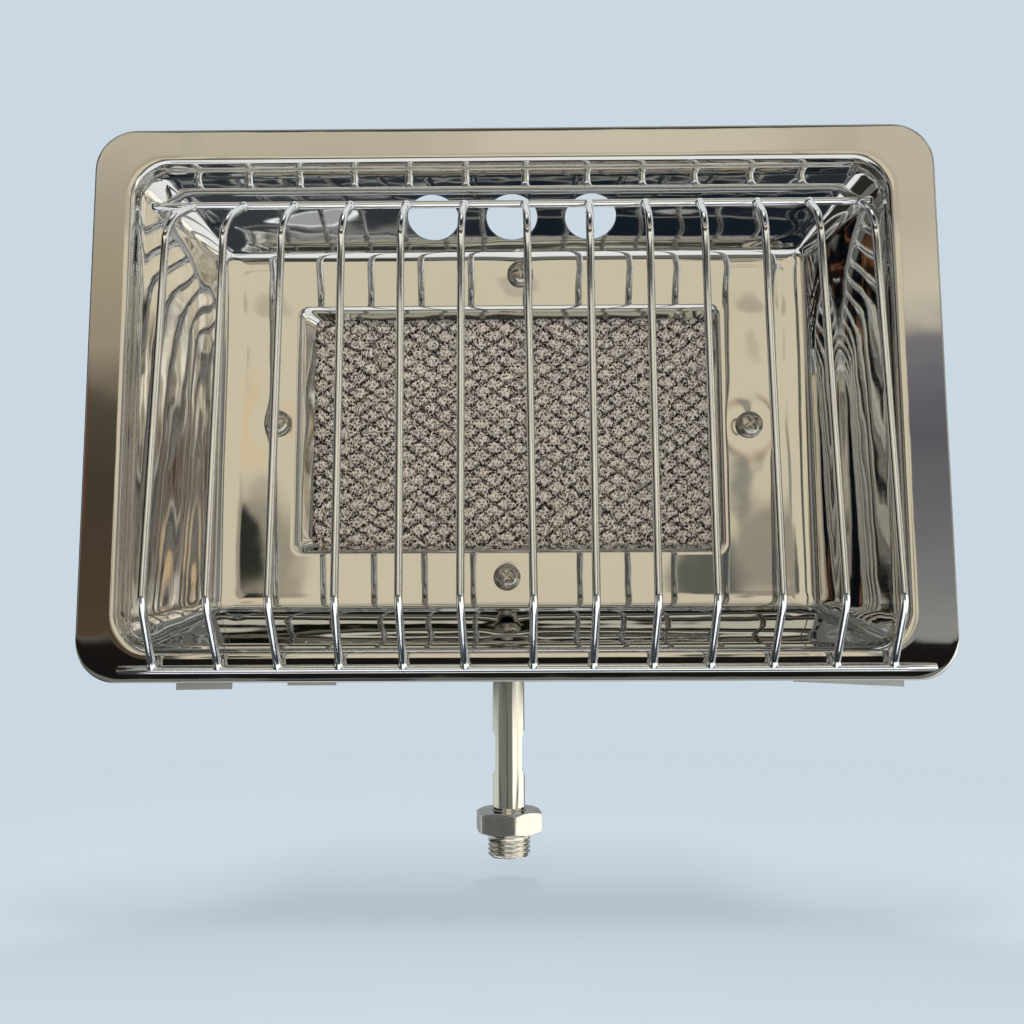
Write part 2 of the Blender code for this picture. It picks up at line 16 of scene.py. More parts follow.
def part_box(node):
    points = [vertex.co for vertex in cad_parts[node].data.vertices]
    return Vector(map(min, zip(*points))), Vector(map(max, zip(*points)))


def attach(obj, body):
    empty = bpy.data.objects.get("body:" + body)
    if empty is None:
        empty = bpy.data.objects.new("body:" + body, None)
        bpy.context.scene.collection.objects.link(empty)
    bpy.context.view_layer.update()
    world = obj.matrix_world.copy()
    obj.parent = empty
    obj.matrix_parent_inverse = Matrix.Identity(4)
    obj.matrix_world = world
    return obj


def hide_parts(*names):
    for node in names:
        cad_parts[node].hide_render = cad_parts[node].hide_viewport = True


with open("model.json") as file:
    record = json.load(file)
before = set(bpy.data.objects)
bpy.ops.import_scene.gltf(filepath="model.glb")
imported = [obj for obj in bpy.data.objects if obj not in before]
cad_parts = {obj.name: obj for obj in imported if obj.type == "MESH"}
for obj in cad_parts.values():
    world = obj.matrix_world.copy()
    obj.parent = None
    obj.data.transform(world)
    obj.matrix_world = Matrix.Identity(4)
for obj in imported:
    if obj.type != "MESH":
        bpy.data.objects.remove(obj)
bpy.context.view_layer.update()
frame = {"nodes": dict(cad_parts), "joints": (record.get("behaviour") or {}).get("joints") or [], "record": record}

MOUNTS = {mount["name"]: Vector(mount["pos_m"]) for mount in frame["record"]["mounts"]}
HINGE = Vector(frame["joints"][0]["pos_m"])
DISH = Vector((HINGE.x, MOUNTS["flange_front"].y, MOUNTS["flange_front"].z))
FLANGE = [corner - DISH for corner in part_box("reflector")]
SHEET = 0.0007
GAP = 0.0003

# Reflector, in the dish frame: depth, left, right, bottom, top, corner radius
FLOOR_DEPTH = 0.0260
BREAK_DEPTH = 0.0045
BREAK_TOP = 0.0669
FLOOR_TOP = 0.0496
EDGE_ROLL = 0.0005
REFLECTOR_KEYS = (
    (EDGE_ROLL, FLANGE[0].x, FLANGE[1].x, FLANGE[0].z, FLANGE[1].z, 0.0115),
    (0.0, FLANGE[0].x, FLANGE[1].x, FLANGE[0].z, FLANGE[1].z, 0.0115),
    (0.0, -0.1081, 0.1064, -0.0700, 0.0683, 0.0112),
    (BREAK_DEPTH, -0.1074, 0.1059, -0.0686, BREAK_TOP, 0.0075),
    (FLOOR_DEPTH, -0.0880, 0.0880, -0.0582, FLOOR_TOP, 0.0030),
    (FLOOR_DEPTH, -0.0654, 0.0623, -0.0414, 0.0334, 0.0030),
    (FLOOR_DEPTH + 0.0035, -0.0613, 0.0593, -0.0394, 0.0308, 0.0022),
)
REFLECTOR_ROUNDING = ((0.9, 0.05), (0.16, 0.45), (0.30, 0.06), (0.06, 0.26), (0.05, 0.30))
REFLECTOR_STEPS = (1, 8, 3, 24, 22, 5)
BROAD_WAVE = 0.00010            # how far the sheet stands off its plain form
RIPPLE = 0.00015
DIMPLE_DEPTH = 0.00022          # pulled in round each screw
DIMPLE_RADIUS = 0.0056
VENT_RADIUS = 0.0076
VENT_PITCH = 0.0235
VENT_MIDDLE_X = -0.0004
VENT_DEPTH = 0.0159
WINDOW = (-0.0011, -0.0043)
SCREW_TURNS = {"left": 20, "right": 35, "top": 8, "bottom": 50}
SCREWS = {name: sum(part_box(f"screw_{name}"), Vector()) / 2 for name in SCREW_TURNS}

# Guard wires, each bent at two places (depth, z)
WIRE_RADIUS = 0.0011
TOP_BEND = (-0.0025, 0.0503)
BOTTOM_BEND = (-0.0118, -0.0577)
ROD_PLACES = (                  # x at the bottom bar, the lower bend, the upper bend, the top bar
    (-0.0972, -0.0971, -0.0973, -0.0931),
    (-0.0794, -0.0803, -0.0811, -0.0782),
    (-0.0634, -0.0642, -0.0648, -0.0634),
    (-0.0470, -0.0468, -0.0480, -0.0472),
    (-0.0298, -0.0301, -0.0314, -0.0309),
    (-0.0132, -0.0140, -0.0145, -0.0140),
    (0.0050, 0.0051, 0.0040, 0.0036),
    (0.0210, 0.0214, 0.0216, 0.0222),
    (0.0370, 0.0375, 0.0383, 0.0385),
    (0.0523, 0.0529, 0.0537, 0.0543),
    (0.0689, 0.0697, 0.0705, 0.0709),
    (0.0856, 0.0860, 0.0858, 0.0860),
    (0.1010, 0.1010, 0.1010, 0.1007),
)
BEND_RADII = (0.0140, 0.0100)
WIRE_SIDES = 20
CAP_STEPS = 4
CAP_BLUNTNESS = 0.5

# Plenum pan, plaque and screws
PAN_MOUTH = (0.0646, 0.0396)
PAN_FRONT = FLOOR_DEPTH + SHEET + GAP
PAN_LEDGE = 0.0428
PAN_BACK = 0.0630
PAN_FLANGE = (0.0800, 0.0525)
PAN_ROUNDING = ((0.05, 0.07), (0.08, 0.22), (0.22, 0.05), (0.14, 0.12))
PAN_STEP = 0.0045
PAN_LEAN = 0.0075
CELL_WIDTH = 0.0076             # rhombus of the plaque's relief
CELL_HEIGHT = 0.0050
HOLE_PITCH = 0.00125
HOLE_RADIUS = 0.00034
PLAQUE_STEP = 0.00025
GROOVE_DEPTH = 0.00060
HOLE_DEPTH = 0.00070
PLAQUE_GRAIN = 0.00004
SCREW_RADIUS = 0.00195
SCREW_HOLE = 0.0023
SCREW_THREAD_DEPTH = 0.0003
SCREW_THREAD_PITCH = 0.0007
RECESS_WIDTHS = (0.00058, 0.00036)      # half an arm's width at its mouth and at its floor
RECESS_REACHES = (0.0024, 0.0019)       # an arm's length at its mouth and at its floor
RECESS_DEPTH = 0.00115
NUT_ACROSS_FLATS = 0.0070
HEX_BLUNTNESS = 0.985           # a hexagon's reach at its corners, as a share of a sharp one's

# Tube and inlet
TUBE_RADIUS = 0.0050
TUBE_BORE = 0.0042
HEX_LOW = MOUNTS["hex_shoulder"].z
HEX_HIGH = 0.0140
HEX_ACROSS_FLATS = 0.0190
HEX_TURN = math.radians(10)
THREAD_RADIUS = 0.00658
THREAD_PITCH = 0.001337
THREAD_DEPTH = 0.00075
THREAD_CHAMFER = 0.0008
GAS_BORE = 0.0025
SOCKET_FLOOR = 0.0095
SLOT_LOW = 0.0243
SLOT_HIGH = 0.0383
SLOT_WIDTH = 0.0056
SLOT_STEPS = 24                 # edges round each end of a slot
SLOT_REACH = 0.0080             # half the length of the shape that cuts both slots

# Studio: camera, floor and the cards that the metal reflects
CAMERA_PLACE = Vector((0.00457, -0.32837, 0.07023))
CAMERA_ANGLES = (6.453, -0.563, -0.244)     # pitch, yaw and roll in degrees
FLOOR_HEIGHT = -0.0080
FLOOR_TINT = (0.60, 0.68, 0.76)
FLOOR_GLOW = 0.66
BACKDROP = (201, 215, 226)
STUDIO_STRENGTH = 1.5
SKY = (                         # elevation and colour
    (-90, (26, 32, 38)), (-71, (34, 39, 44)), (-68, (226, 228, 228)), (-22, (222, 222, 220)),
    (-16, (96, 98, 94)), (0, (122, 123, 120)), (40, (120, 120, 114)), (72, (70, 72, 70)),
    (80, (235, 235, 230)),
)
STRIPS = (                      # elevation from, to, softness, colour: what the lower wall mirrors
    (28, 31, 0.6, (58, 58, 54)),
    (31, 37, 0.6, (200, 196, 180)),
    (37, 45, 0.6, (70, 62, 50)),
    (45, 48.2, 0.5, (206, 200, 186)),
    (48.2, 50.2, 0.3, (16, 18, 12)),
    (50.2, 51.2, 0.2, (108, 104, 90)),
    (51.2, 52.4, 0.2, (24, 24, 20)),
    (52.4, 53.6, 0.3, (226, 220, 206)),
    (53.6, 55.4, 0.3, (46, 46, 42)),
    (55.4, 58, 0.4, (104, 102, 92)),
    (58, 72, 0.5, (34, 34, 32)),
)
CARDS = (                       # azimuth from, to, elevation from, to, softness of each, colour
    (-180, -95, -40, 90, 8, 2, (118, 124, 128)),
    (95, 180, -40, 90, 8, 2, (118, 124, 128)),
    (-140, -84, -60, 45, 5, 5, (24, 25, 27)),
    (97, 140, -60, 45, 5, 5, (24, 25, 27)),
    (-110, -28, -60, -19, 5, 3, (46, 45, 40)),
    (-75, 22, -19, -3.8, 3, 1.5, (100, 102, 97)),
    (28, 135, -19, -3.8, 3, 1.5, (250, 248, 236)),
    (-150, -78, -19, -3.8, 3, 1.5, (176, 178, 170)),
    (-14, -6, -12, -4.5, 1, 1.5, (52, 54, 50)),
    (62, 76, -10, 14, 2, 2, (226, 216, 192)),
    *((-60, 60, low, high, 1, soft, shade) for low, high, soft, shade in STRIPS),
    (-18.5, 18.5, -0.3, 21.5, 0.5, 0.6, (197, 187, 163)),
    (-50, 50, -3.4, -0.5, 0.4, 0.3, (28, 26, 25)),
)
SCREENS = (                     # azimuth from, to, softness, then elevations and their colours
    (-19, 19, 1, (
        (20.4, (184, 175, 156)), (21, (174, 165, 147)), (26, (180, 171, 152)),
        (28, (186, 178, 160)))),
    (-30, -18.6, 0.8, (
        (-0.5, (76, 63, 50)), (8, (66, 59, 49)), (11.4, (76, 71, 60)), (14.4, (144, 132, 114)),
        (19, (156, 144, 122)), (22, (161, 152, 136)), (24.6, (177, 169, 152)),
        (28, (180, 172, 153)))),
    (18.6, 30, 0.8, (
        (-0.5, (136, 135, 130)), (1.6, (120, 120, 119)), (5.3, (104, 103, 104)),
        (8, (97, 96, 99)), (10, (90, 88, 93)), (13.6, (106, 104, 109)),
        (14.8, (116, 113, 114)), (15.9, (176, 169, 154)), (17.3, (194, 186, 165)),
        (21, (180, 171, 154)), (28, (186, 178, 160)))),
)
CURTAINS = (                    # azimuth from, to, elevation from, to, scale, noise and its colours
    (50, 92, -2, 40, 1.1, (
        (0.30, (26, 24, 21)), (0.35, (118, 110, 92)), (0.40, (208, 198, 172)),
        (0.44, (40, 38, 32)), (0.48, (206, 195, 168)), (0.53, (250, 246, 232)),
        (0.57, (28, 26, 23)), (0.62, (150, 138, 112)), (0.68, (214, 205, 180)),
        (0.74, (60, 56, 48)))),
    (-100, -50, -2, 45, 1.2, (
        (0.30, (6, 8, 10)), (0.44, (18, 23, 27)), (0.52, (10, 12, 14)),
        (0.575, (16, 15, 14)), (0.59, (150, 104, 74)), (0.61, (14, 14, 14)),
        (0.66, (26, 30, 32)), (0.69, (170, 156, 136)), (0.71, (18, 20, 22)))),
)
PATCHES = (                     # azimuth, elevation, half width, half height, share, colour
    (6, 25.4, 11, 3, 0.55, (206, 198, 177)),
    (-25.4, 9, 1.2, 5, 0.60, (100, 62, 44)),
    (-14.9, 11.5, 0.9, 3.2, 0.55, (206, 178, 138)),
    (-14, 17.4, 1, 0.8, 0.45, (138, 130, 110)),
    (-14.4, 4, 2.2, 3.9, 0.60, (96, 91, 82)),
    (-15.4, 4.5, 1, 2.6, 0.96, (28, 36, 32)),
    (-16.4, 2, 1.2, 2, 0.80, (70, 64, 54)),
    (12.5, 17.9, 1.1, 0.7, 0.60, (138, 133, 117)),
    (12.3, 15, 0.5, 1, 0.50, (158, 151, 134)),
    (12.3, 9.9, 0.6, 1.4, 0.35, (150, 110, 84)),
    (12.1, 7.9, 0.5, 2.6, 0.80, (112, 113, 104)),
    (13.3, 3.9, 2, 3, 0.80, (124, 117, 106)),
    (10.2, 2.7, 1.9, 2.5, 0.92, (70, 74, 72)),
    (14.9, 10, 0.16, 11, 0.80, (46, 42, 34)),
    (15.8, 9, 0.13, 12, 0.70, (70, 64, 52)),
    (-16, 13, 0.16, 8, 0.70, (66, 62, 52)),
    (76, 19.5, 7, 3.2, 0.62, (212, 200, 174)),
    (71, 16, 3, 3.4, 0.60, (106, 101, 92)),
    (76.2, 6.6, 6, 5, 0.80, (62, 45, 36)),
    (78.6, 3.9, 1.5, 2.2, 0.80, (200, 172, 134)),
)
# the flag glows with painted reflections: its tones, lines and pale spot are seen only in the polished metal
FLAG = (0.44, 0.036, (0.0, -0.0755, -0.0075))   # size and middle of a dark card on the ground
FLAG_LEFT = (54, 59, 63)
FLAG_RIGHT = (26, 33, 40)
FLAG_FRONT = (42, 46, 52)
FLAG_LINES = (                  # y from, to, softness, colour
    (-0.0848, -0.0842, 0.0004, (150, 150, 146)),
    (-0.0664, -0.0652, 0.0006, (120, 118, 114)),
)
FLAG_SPOT = ((-0.096, -0.0705), (0.020, 0.0034))    # middle and half sizes of a pale ellipse
FLAG_SPOT_RIM = (232, 240, 240)
FLAG_SPOT_FACE = (150, 152, 152)


def in_dish(x, depth, z):
    """A place given in the dish's frame."""
    return DISH + Vector((x, depth, z))


# ---- node helpers

class Nodes:
    """Short ways to add and join the nodes of one tree."""

    def __init__(self, tree):
        self.tree = tree
        tree.nodes.clear()

    def add(self, kind, **settings):
        node = self.tree.nodes.new(kind)
        for name, value in settings.items():
            setattr(node, name, value)
        return node

    def join(self, source, target):
        """Link an output to an input, or set the input's own value."""
        if isinstance(source, bpy.types.NodeSocket):
            self.tree.links.new(source, target)
        elif target.type == 'RGBA':
            target.default_value = (*source, 1.0)
        else:
            target.default_value = source

    def fill(self, node, **sources):
        """Join a node's inputs, named here with _ for a space."""
        for name, source in sources.items():
            self.join(source, node.inputs[name.replace("_", " ")])
        return node

    def math(self, operation, first, second=0.0, clamp=False):
        node = self.add("ShaderNodeMath", operation=operation, use_clamp=clamp)
        self.join(first, node.inputs[0])
        self.join(second, node.inputs[1])
        return node.outputs[0]

    def step(self, value, low, high):
        """0 below low, 1 above high, smooth between."""
        node = self.add("ShaderNodeMapRange", interpolation_type='SMOOTHSTEP')
        self.fill(node, Value=value, From_Min=low, From_Max=high)
        return node.outputs["Result"]

    def mix(self, share, first, second):
        node = self.add("ShaderNodeMix", data_type='RGBA')
        self.join(share, node.inputs["Factor"])
        self.join(first, node.inputs[6])
        self.join(second, node.inputs[7])
        return node.outputs[2]

    def ramp(self, value, *stops):
        """Stops are (position, colour)."""
        node = self.add("ShaderNodeValToRGB")
        elements = node.color_ramp.elements
        while len(elements) < len(stops):
            elements.new(0.5)
        for element, (position, colour) in zip(elements, stops):
            element.position = position
            element.color = (*colour, 1.0)
        self.join(value, node.inputs["Fac"])
        return node.outputs["Color"]

    def place(self, scale):
        """Object coordinates, scaled on each axis."""
        coordinates = self.add("ShaderNodeTexCoord")
        mapping = self.add("ShaderNodeMapping")
        self.fill(mapping, Scale=scale, Vector=coordinates.outputs["Object"])
        return mapping.outputs["Vector"]

    def noise(self, vector, scale, detail=2.0, roughness=0.5, distortion=0.0):
        node = self.add("ShaderNodeTexNoise")
        self.fill(
            node, Vector=vector, Scale=scale, Detail=detail, Roughness=roughness,
            Distortion=distortion)
        return node.outputs["Fac"]

    def bump(self, height, distance):
        node = self.fill(self.add("ShaderNodeBump"), Height=height, Distance=distance)
        return node.outputs["Normal"]

    def about_zero(self, value, reach):
        """A noise between 0 and 1, moved to lie evenly about 0, over a reach."""
        return self.math('MULTIPLY', self.math('SUBTRACT', value, 0.5), reach)

    def light(self, kind, colour, strength=1.0):
        """An emission or background shader."""
        return self.fill(self.add(kind), Color=colour, Strength=strength)

    def blend(self, share, first, second):
        """A mix of two shaders."""
        node = self.add("ShaderNodeMixShader")
        for source, target in zip((share, first.outputs[0], second.outputs[0]), node.inputs):
            self.join(source, target)
        return node

    def finish(self, shader, kind="ShaderNodeOutputMaterial"):
        """Join a shader to the tree's output."""
        self.join(shader.outputs[0], self.add(kind).inputs["Surface"])


def empty_material(name):
    """A material and its nodes, of which there are none yet."""
    material = bpy.data.materials.new(f"{name}_look")
    material.use_nodes = True
    return material, Nodes(material.node_tree)


def principled(name):
    """A material, its nodes and its Principled shader."""
    material, nodes = empty_material(name)
    shader = nodes.add("ShaderNodeBsdfPrincipled")
    nodes.finish(shader)
    return material, nodes, shader


def metal(name, light, dark, rough, grain, grain_scale, bump_distance, mottle_scale=40.0):
    """Metal with a slow change of tint, a grain that changes roughness, and a fine bump."""
    material, nodes, shader = principled(name)
    even = nodes.place((1.0, 1.0, 1.0))
    mottle = nodes.noise(even, mottle_scale, 3.0)
    streaks = nodes.noise(nodes.place(grain), grain_scale, 4.0, 0.6)
    spread = nodes.about_zero(streaks, rough[1] * 2)
    nodes.fill(
        shader, Metallic=1.0, Base_Color=nodes.mix(mottle, dark, light),
        Roughness=nodes.math('ADD', spread, rough[0], clamp=True),
        Normal=nodes.bump(streaks, bump_distance))
    return material


# ---- materials

def polished_steel():
    """Mirror-polished sheet: faint polishing lines, slow waves and a warm tint."""
    material, nodes, shader = principled("polished_steel")
    even = nodes.place((1.0, 1.0, 1.0))
    tint = nodes.noise(even, 18.0, 3.0)
    haze = nodes.noise(nodes.place((1.0, 1.0, 9.0)), 150.0, 4.0, 0.6)
    waves = nodes.noise(even, 75.0, 1.0)
    nodes.fill(
        shader, Metallic=1.0, Base_Color=nodes.mix(tint, (0.63, 0.625, 0.61), (0.70, 0.695, 0.68)),
        Roughness=nodes.math('ADD', nodes.math('MULTIPLY', haze, 0.05), 0.008),
        Normal=nodes.bump(waves, 0.00006))
    return material


def ceramic():
    """Perforated ceramic, whose mesh says how deep in a hole or a groove each point is: holes, grooves and
    speckles are painted near black as shade.
    """
    material, nodes, shader = principled("ceramic")
    depth = nodes.add("ShaderNodeAttribute", attribute_name="depth").outputs["Fac"]
    even = nodes.place((1.0, 1.0, 1.0))
    speck = nodes.noise(nodes.place((1.0, 1.0, 0.8)), 1350.0, 1.5, 0.6, 1.6)
    blush = nodes.noise(even, 60.0, 2.0)
    face = nodes.mix(blush, (0.92, 0.80, 0.72), (0.96, 0.90, 0.82))
    # painted shade: this mask turns the holes, grooves and random speckles near black
    mask = nodes.step(nodes.math('ADD', depth, nodes.about_zero(speck, 5.6)), 0.20, 0.66)
    nodes.fill(
        shader, Base_Color=nodes.mix(mask, face, (0.014, 0.011, 0.010)), Roughness=0.95,
        Normal=nodes.bump(speck, 0.0001))
    return material


def fibre():
    """Soft pale fibre with fine strands."""
    material, nodes, shader = principled("ceramic_fibre")
    strands = nodes.noise(nodes.place((1.0, 0.2, 1.0)), 1200.0, 5.0, 0.7)
    nodes.fill(
        shader, Base_Color=nodes.mix(strands, (0.70, 0.67, 0.61), (0.90, 0.88, 0.84)),
        Roughness=1.0, Normal=nodes.bump(strands, 0.0003))
    return material


METALS = {                      # the arguments of metal
    "bright_wire": (
        (0.92, 0.95, 0.99), (0.84, 0.87, 0.91), (0.07, 0.05), (1, 1, 0.1), 900, 0.00002),
    "plain_steel": (
        (0.74, 0.78, 0.82), (0.62, 0.66, 0.70), (0.36, 0.12), (0.15, 1, 1), 700, 0.00004),
    "tube_steel": (
        (0.88, 0.87, 0.81), (0.78, 0.77, 0.72), (0.13, 0.07), (1, 1, 0.04), 900, 0.00003),
    "zinc_plate": (
        (0.90, 0.88, 0.82), (0.76, 0.74, 0.68), (0.20, 0.10), (1, 1, 1), 600, 0.00004,
        160),
    "screw_steel": (
        (0.86, 0.83, 0.77), (0.16, 0.15, 0.14), (0.20, 0.12), (1, 1, 1), 700, 0.00010,
        500),
    "brass": (
        (0.80, 0.60, 0.28), (0.66, 0.46, 0.18), (0.28, 0.10), (1, 1, 0.2), 500, 0.00003),
}
MATERIALS = {name: metal(name, *look) for name, look in METALS.items()}
MATERIALS |= {
    "polished_steel": polished_steel(), "ceramic": ceramic(), "ceramic_fibre": fibre()}


# ---- piece helpers

def link(name, data):
    """A new object of the scene."""
    item = bpy.data.objects.new(name, data)
    bpy.context.scene.collection.objects.link(item)
    return item


def finish_piece(item, slot, nodes=(), sharp=40.0, body="burner"):
    """Shade a piece, give it its material, and tie it to the frame."""
    item.data.shade_smooth()
    item.data.set_sharp_from_angle(angle=math.radians(sharp))
    item.data.materials.clear()
    item.data.materials.append(MATERIALS[slot])
    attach(item, body)
    if nodes:
        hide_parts(*nodes)
    return item


def grid_mesh(name, points, around, along=False):
    """Quads over an array of points [row][column], closed round each row or along the rows."""
    rows, columns = points.shape[:2]
    numbers = np.arange(rows * columns).reshape(rows, columns)
    if around:
        numbers = np.hstack([numbers, numbers[:, :1]])
    if along:
        numbers = np.vstack([numbers, numbers[:1]])
    corners = (numbers[:-1, :-1], numbers[:-1, 1:], numbers[1:, 1:], numbers[1:, :-1])
    faces = np.stack(corners, axis=2).reshape(-1, 4)
    mesh = bpy.data.meshes.new(name)
    mesh.from_pydata(points.reshape(-1, 3).tolist(), [], faces.tolist())
    return mesh


def mesh_of(form, name, turn_out=True):
    """Write a bmesh to a mesh, its faces first turned outwards unless turn_out is false."""
    if turn_out:
        bmesh.ops.recalc_face_normals(form, faces=form.faces)
    mesh = bpy.data.meshes.new(name)
    form.to_mesh(mesh)
    form.free()
    return mesh


def bake_modifiers(item):
    """Replace an object's mesh by the one that its modifiers make."""
    graph = bpy.context.evaluated_depsgraph_get()
    mesh = bpy.data.meshes.new_from_object(item.evaluated_get(graph))
    item.modifiers.clear()
    item.data = mesh


def add_rod(form, radius, length, centre, turn=0.0, axis='X', segments=48):
    """Add a cylinder along Z, turned about an axis, to a bmesh."""
    matrix = Matrix.Translation(centre) @ Matrix.Rotation(turn, 4, axis)
    bmesh.ops.create_cone(
        form, cap_ends=True, segments=segments, radius1=radius, radius2=radius,
        depth=length, matrix=matrix)


def cut_with(item, form):
    """Take the closed shapes of a bmesh out of an object."""
    cutter = link("cutter", mesh_of(form, "cutter"))
    modifier = item.modifiers.new("cut", 'BOOLEAN')
    modifier.operation = 'DIFFERENCE'
    modifier.solver = 'EXACT'
    modifier.object = cutter
    bake_modifiers(item)
    bpy.data.objects.remove(cutter, do_unlink=True)


def thicken(item, thickness):
    """Give an open surface a sheet's thickness behind it."""
    sheet = item.modifiers.new("sheet", 'SOLIDIFY')
    sheet.thickness = thickness
    sheet.offset = -1.0
    sheet.use_even_offset = True
    bake_modifiers(item)


def smooth_step(low, high, value):
    """0 on low's side and 1 on high's, smooth between; low may be the larger one."""
    share = np.clip((value - low) / (high - low), 0, 1)
    return share * share * (3 - 2 * share)


def lathe(name, rings, columns, matrix, hollow=False):
    """A closed surface through rings of (radius, height), each a number or one value a column."""
    angles = np.linspace(0.0, 2 * math.pi, columns, endpoint=False)
    points = np.zeros((len(rings), columns, 3))
    for number, (radius, height) in enumerate(rings):
        points[number, :, 0] = radius * np.cos(angles)
        points[number, :, 1] = radius * np.sin(angles)
        points[number, :, 2] = height
    mesh = grid_mesh(name, points, True, hollow)
    mesh.transform(matrix)
    form = bmesh.new()
    form.from_mesh(mesh)
    bmesh.ops.remove_doubles(form, verts=form.verts, dist=0.0000005)
    return link(name, mesh_of(form, name))


def thread_rings(radius, depth, pitch, low, high, columns, chamfer):
    """Rings of a right-hand thread from low to high, with a chamfer at the low end."""
    angles = np.linspace(0.0, 1.0, columns, endpoint=False)
    rings = []
    for height in np.arange(low, high, pitch / 10):
        phase = (height / pitch - angles) % 1.0
        ridge = np.clip(np.abs(2 * phase - 1) * 1.35 - 0.18, 0, 1)
        fade = float(smooth_step(high - pitch * 0.2, high - pitch * 1.3, height))
        full = radius - depth * (1 - ridge) * fade
        rings.append((np.minimum(full, radius - chamfer + (height - low)), height))
    return rings


def hex_radius(across, columns, turn):
    """Radius of a hexagon's outline in each column, its corners slightly blunted."""
    angles = np.linspace(0.0, 2 * math.pi, columns, endpoint=False) - turn
    radius = across / 2 / np.cos((angles % (math.pi / 3)) - math.pi / 6)
    return np.minimum(radius, across / 2 / math.cos(math.pi / 6) * HEX_BLUNTNESS)


def hex_rings(across, columns, turn, low, high, bore_low, bore_high):
    """A hexagon's lower face, flats and upper face, chamfered at both, from bore to bore."""
    flats = hex_radius(across, columns, turn)
    start = across / 2 * 0.975
    drop = np.maximum(flats - start, 0) * math.tan(math.radians(30))
    return [
        (bore_low, low), (start, low), (flats, low + drop),
        (flats, high - drop), (start, high), (bore_high, high),
    ]


# ---- pressed sheet

def blended(keys, rounding, steps, bend_steps):
    """Rows between outline values, each inner one rounded by a share of its two neighbours."""
    keys = np.array(keys)
    rows = []
    for here in range(len(keys) - 1):
        start = 0.0 if here == 0 else rounding[here - 1][1]
        end = 1.0 if here == len(keys) - 2 else 1.0 - rounding[here][0]
        for share in np.linspace(start, end, steps[here] + 1):
            rows.append(keys[here] * (1 - share) + keys[here + 1] * share)
        if here < len(keys) - 2:
            first = rows[-1]
            corner = keys[here + 1]
            after = rounding[here][1]
            last = corner * (1 - after) + keys[here + 2] * after
            for share in np.linspace(0.0, 1.0, bend_steps + 1)[1:-1]:
                low = first * (1 - share) + corner * share
                high = corner * (1 - share) + last * share
                rows.append(low * (1 - share) + high * share)
    return rows


def rounded_outline(values, corner_steps, across_steps, up_steps):
    """A rounded rectangle's points, anticlockwise from the front, from its right side's top."""
    depth, left, right, bottom, top, radius = values
    corners = (
        (right - radius, top - radius), (left + radius, top - radius),
        (left + radius, bottom + radius), (right - radius, bottom + radius),
    )
    points = []
    for quarter, (x, z) in enumerate(corners):
        for step in range(corner_steps):
            angle = (quarter + step / corner_steps) * math.pi / 2
            points.append((x + radius * math.cos(angle), depth, z + radius * math.sin(angle)))
        end = (quarter + 1) * math.pi / 2
        spoke = np.array([radius * math.cos(end), radius * math.sin(end)])
        start_point = np.array(corners[quarter]) + spoke
        end_point = np.array(corners[(quarter + 1) % 4]) + spoke
        side_steps = (across_steps, up_steps)[quarter % 2]
        for step in range(side_steps):
            x_side, z_side = start_point + (end_point - start_point) * step / side_steps
            points.append((x_side, depth, z_side))
    return points


def grid_normals(points):
    """Normals of a grid of closed rows, pointing out of the dish's front."""
    along = np.gradient(points, axis=0)
    across = np.roll(points, -1, axis=1) - np.roll(points, 1, axis=1)
    normals = np.cross(across, along)
    return normals / np.maximum(np.linalg.norm(normals, axis=2, keepdims=True), 1e-12)


def waviness(points):
    """How far the pressed sheet stands off its plain form, at each point of the grid."""
    x, depth, z = points[:, :, 0], points[:, :, 1], points[:, :, 2]
    wall = smooth_step(0.006, 0.012, depth) * smooth_step(FLOOR_DEPTH, FLOOR_DEPTH - 0.004, depth)
    floor = smooth_step(FLOOR_DEPTH - 0.001, FLOOR_DEPTH, depth)
    broad = np.zeros(x.shape)
    ripple = np.zeros(x.shape)
    for spot in np.ndindex(x.shape):
        place = points[spot]
        broad[spot] = noise.noise(Vector((place[0] * 24, place[1] * 24, place[2] * 24)))
        ripple[spot] = noise.noise(Vector((place[0] * 7, place[1] * 190 + 3, place[2] * 7)))
    offset = BROAD_WAVE * broad * (0.35 + floor) + RIPPLE * ripple * wall
    for place in SCREWS.values():
        distance = np.hypot(x - (place.x - DISH.x), z - (place.z - DISH.z))
        offset -= DIMPLE_DEPTH * np.exp(-(distance / DIMPLE_RADIUS) ** 2) * floor
    return offset


def add_screw_holes(form, depth):
    """Add the shapes that cut the four screw holes through a sheet."""
    for place in SCREWS.values():
        centre = Vector((place.x, DISH.y + depth, place.z))
        add_rod(form, SCREW_HOLE, 0.004, centre, math.pi / 2, 'X', 32)


def make_reflector():
    """The pressed dish, with its vents and the holes for the screws and the guard's top bar."""
    rows = blended(REFLECTOR_KEYS, REFLECTOR_ROUNDING, REFLECTOR_STEPS, 8)
    points = np.array([rounded_outline(row, 14, 110, 70) for row in rows])
    points += waviness(points)[:, :, None] * grid_normals(points)
    mesh = grid_mesh("reflector_shell", points + np.array(DISH), True)
    shell = link("reflector_shell", mesh)
    thicken(shell, SHEET)
    slope = math.atan2(BREAK_TOP - FLOOR_TOP, FLOOR_DEPTH - BREAK_DEPTH)
    vent_z = BREAK_TOP - (VENT_DEPTH - BREAK_DEPTH) * math.tan(slope)
    form = bmesh.new()
    for number in (-1, 0, 1):
        centre = in_dish(VENT_MIDDLE_X + number * VENT_PITCH, VENT_DEPTH, vent_z)
        add_rod(form, VENT_RADIUS, 0.008, centre, -slope, 'X', 72)
    add_screw_holes(form, FLOOR_DEPTH)
    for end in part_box("guard_top_bar"):
        add_rod(form, WIRE_RADIUS + GAP, 0.010, (end.x, HINGE.y, HINGE.z), math.pi / 2, 'Y', 24)
    cut_with(shell, form)
    finish_piece(shell, "polished_steel", ["reflector"])


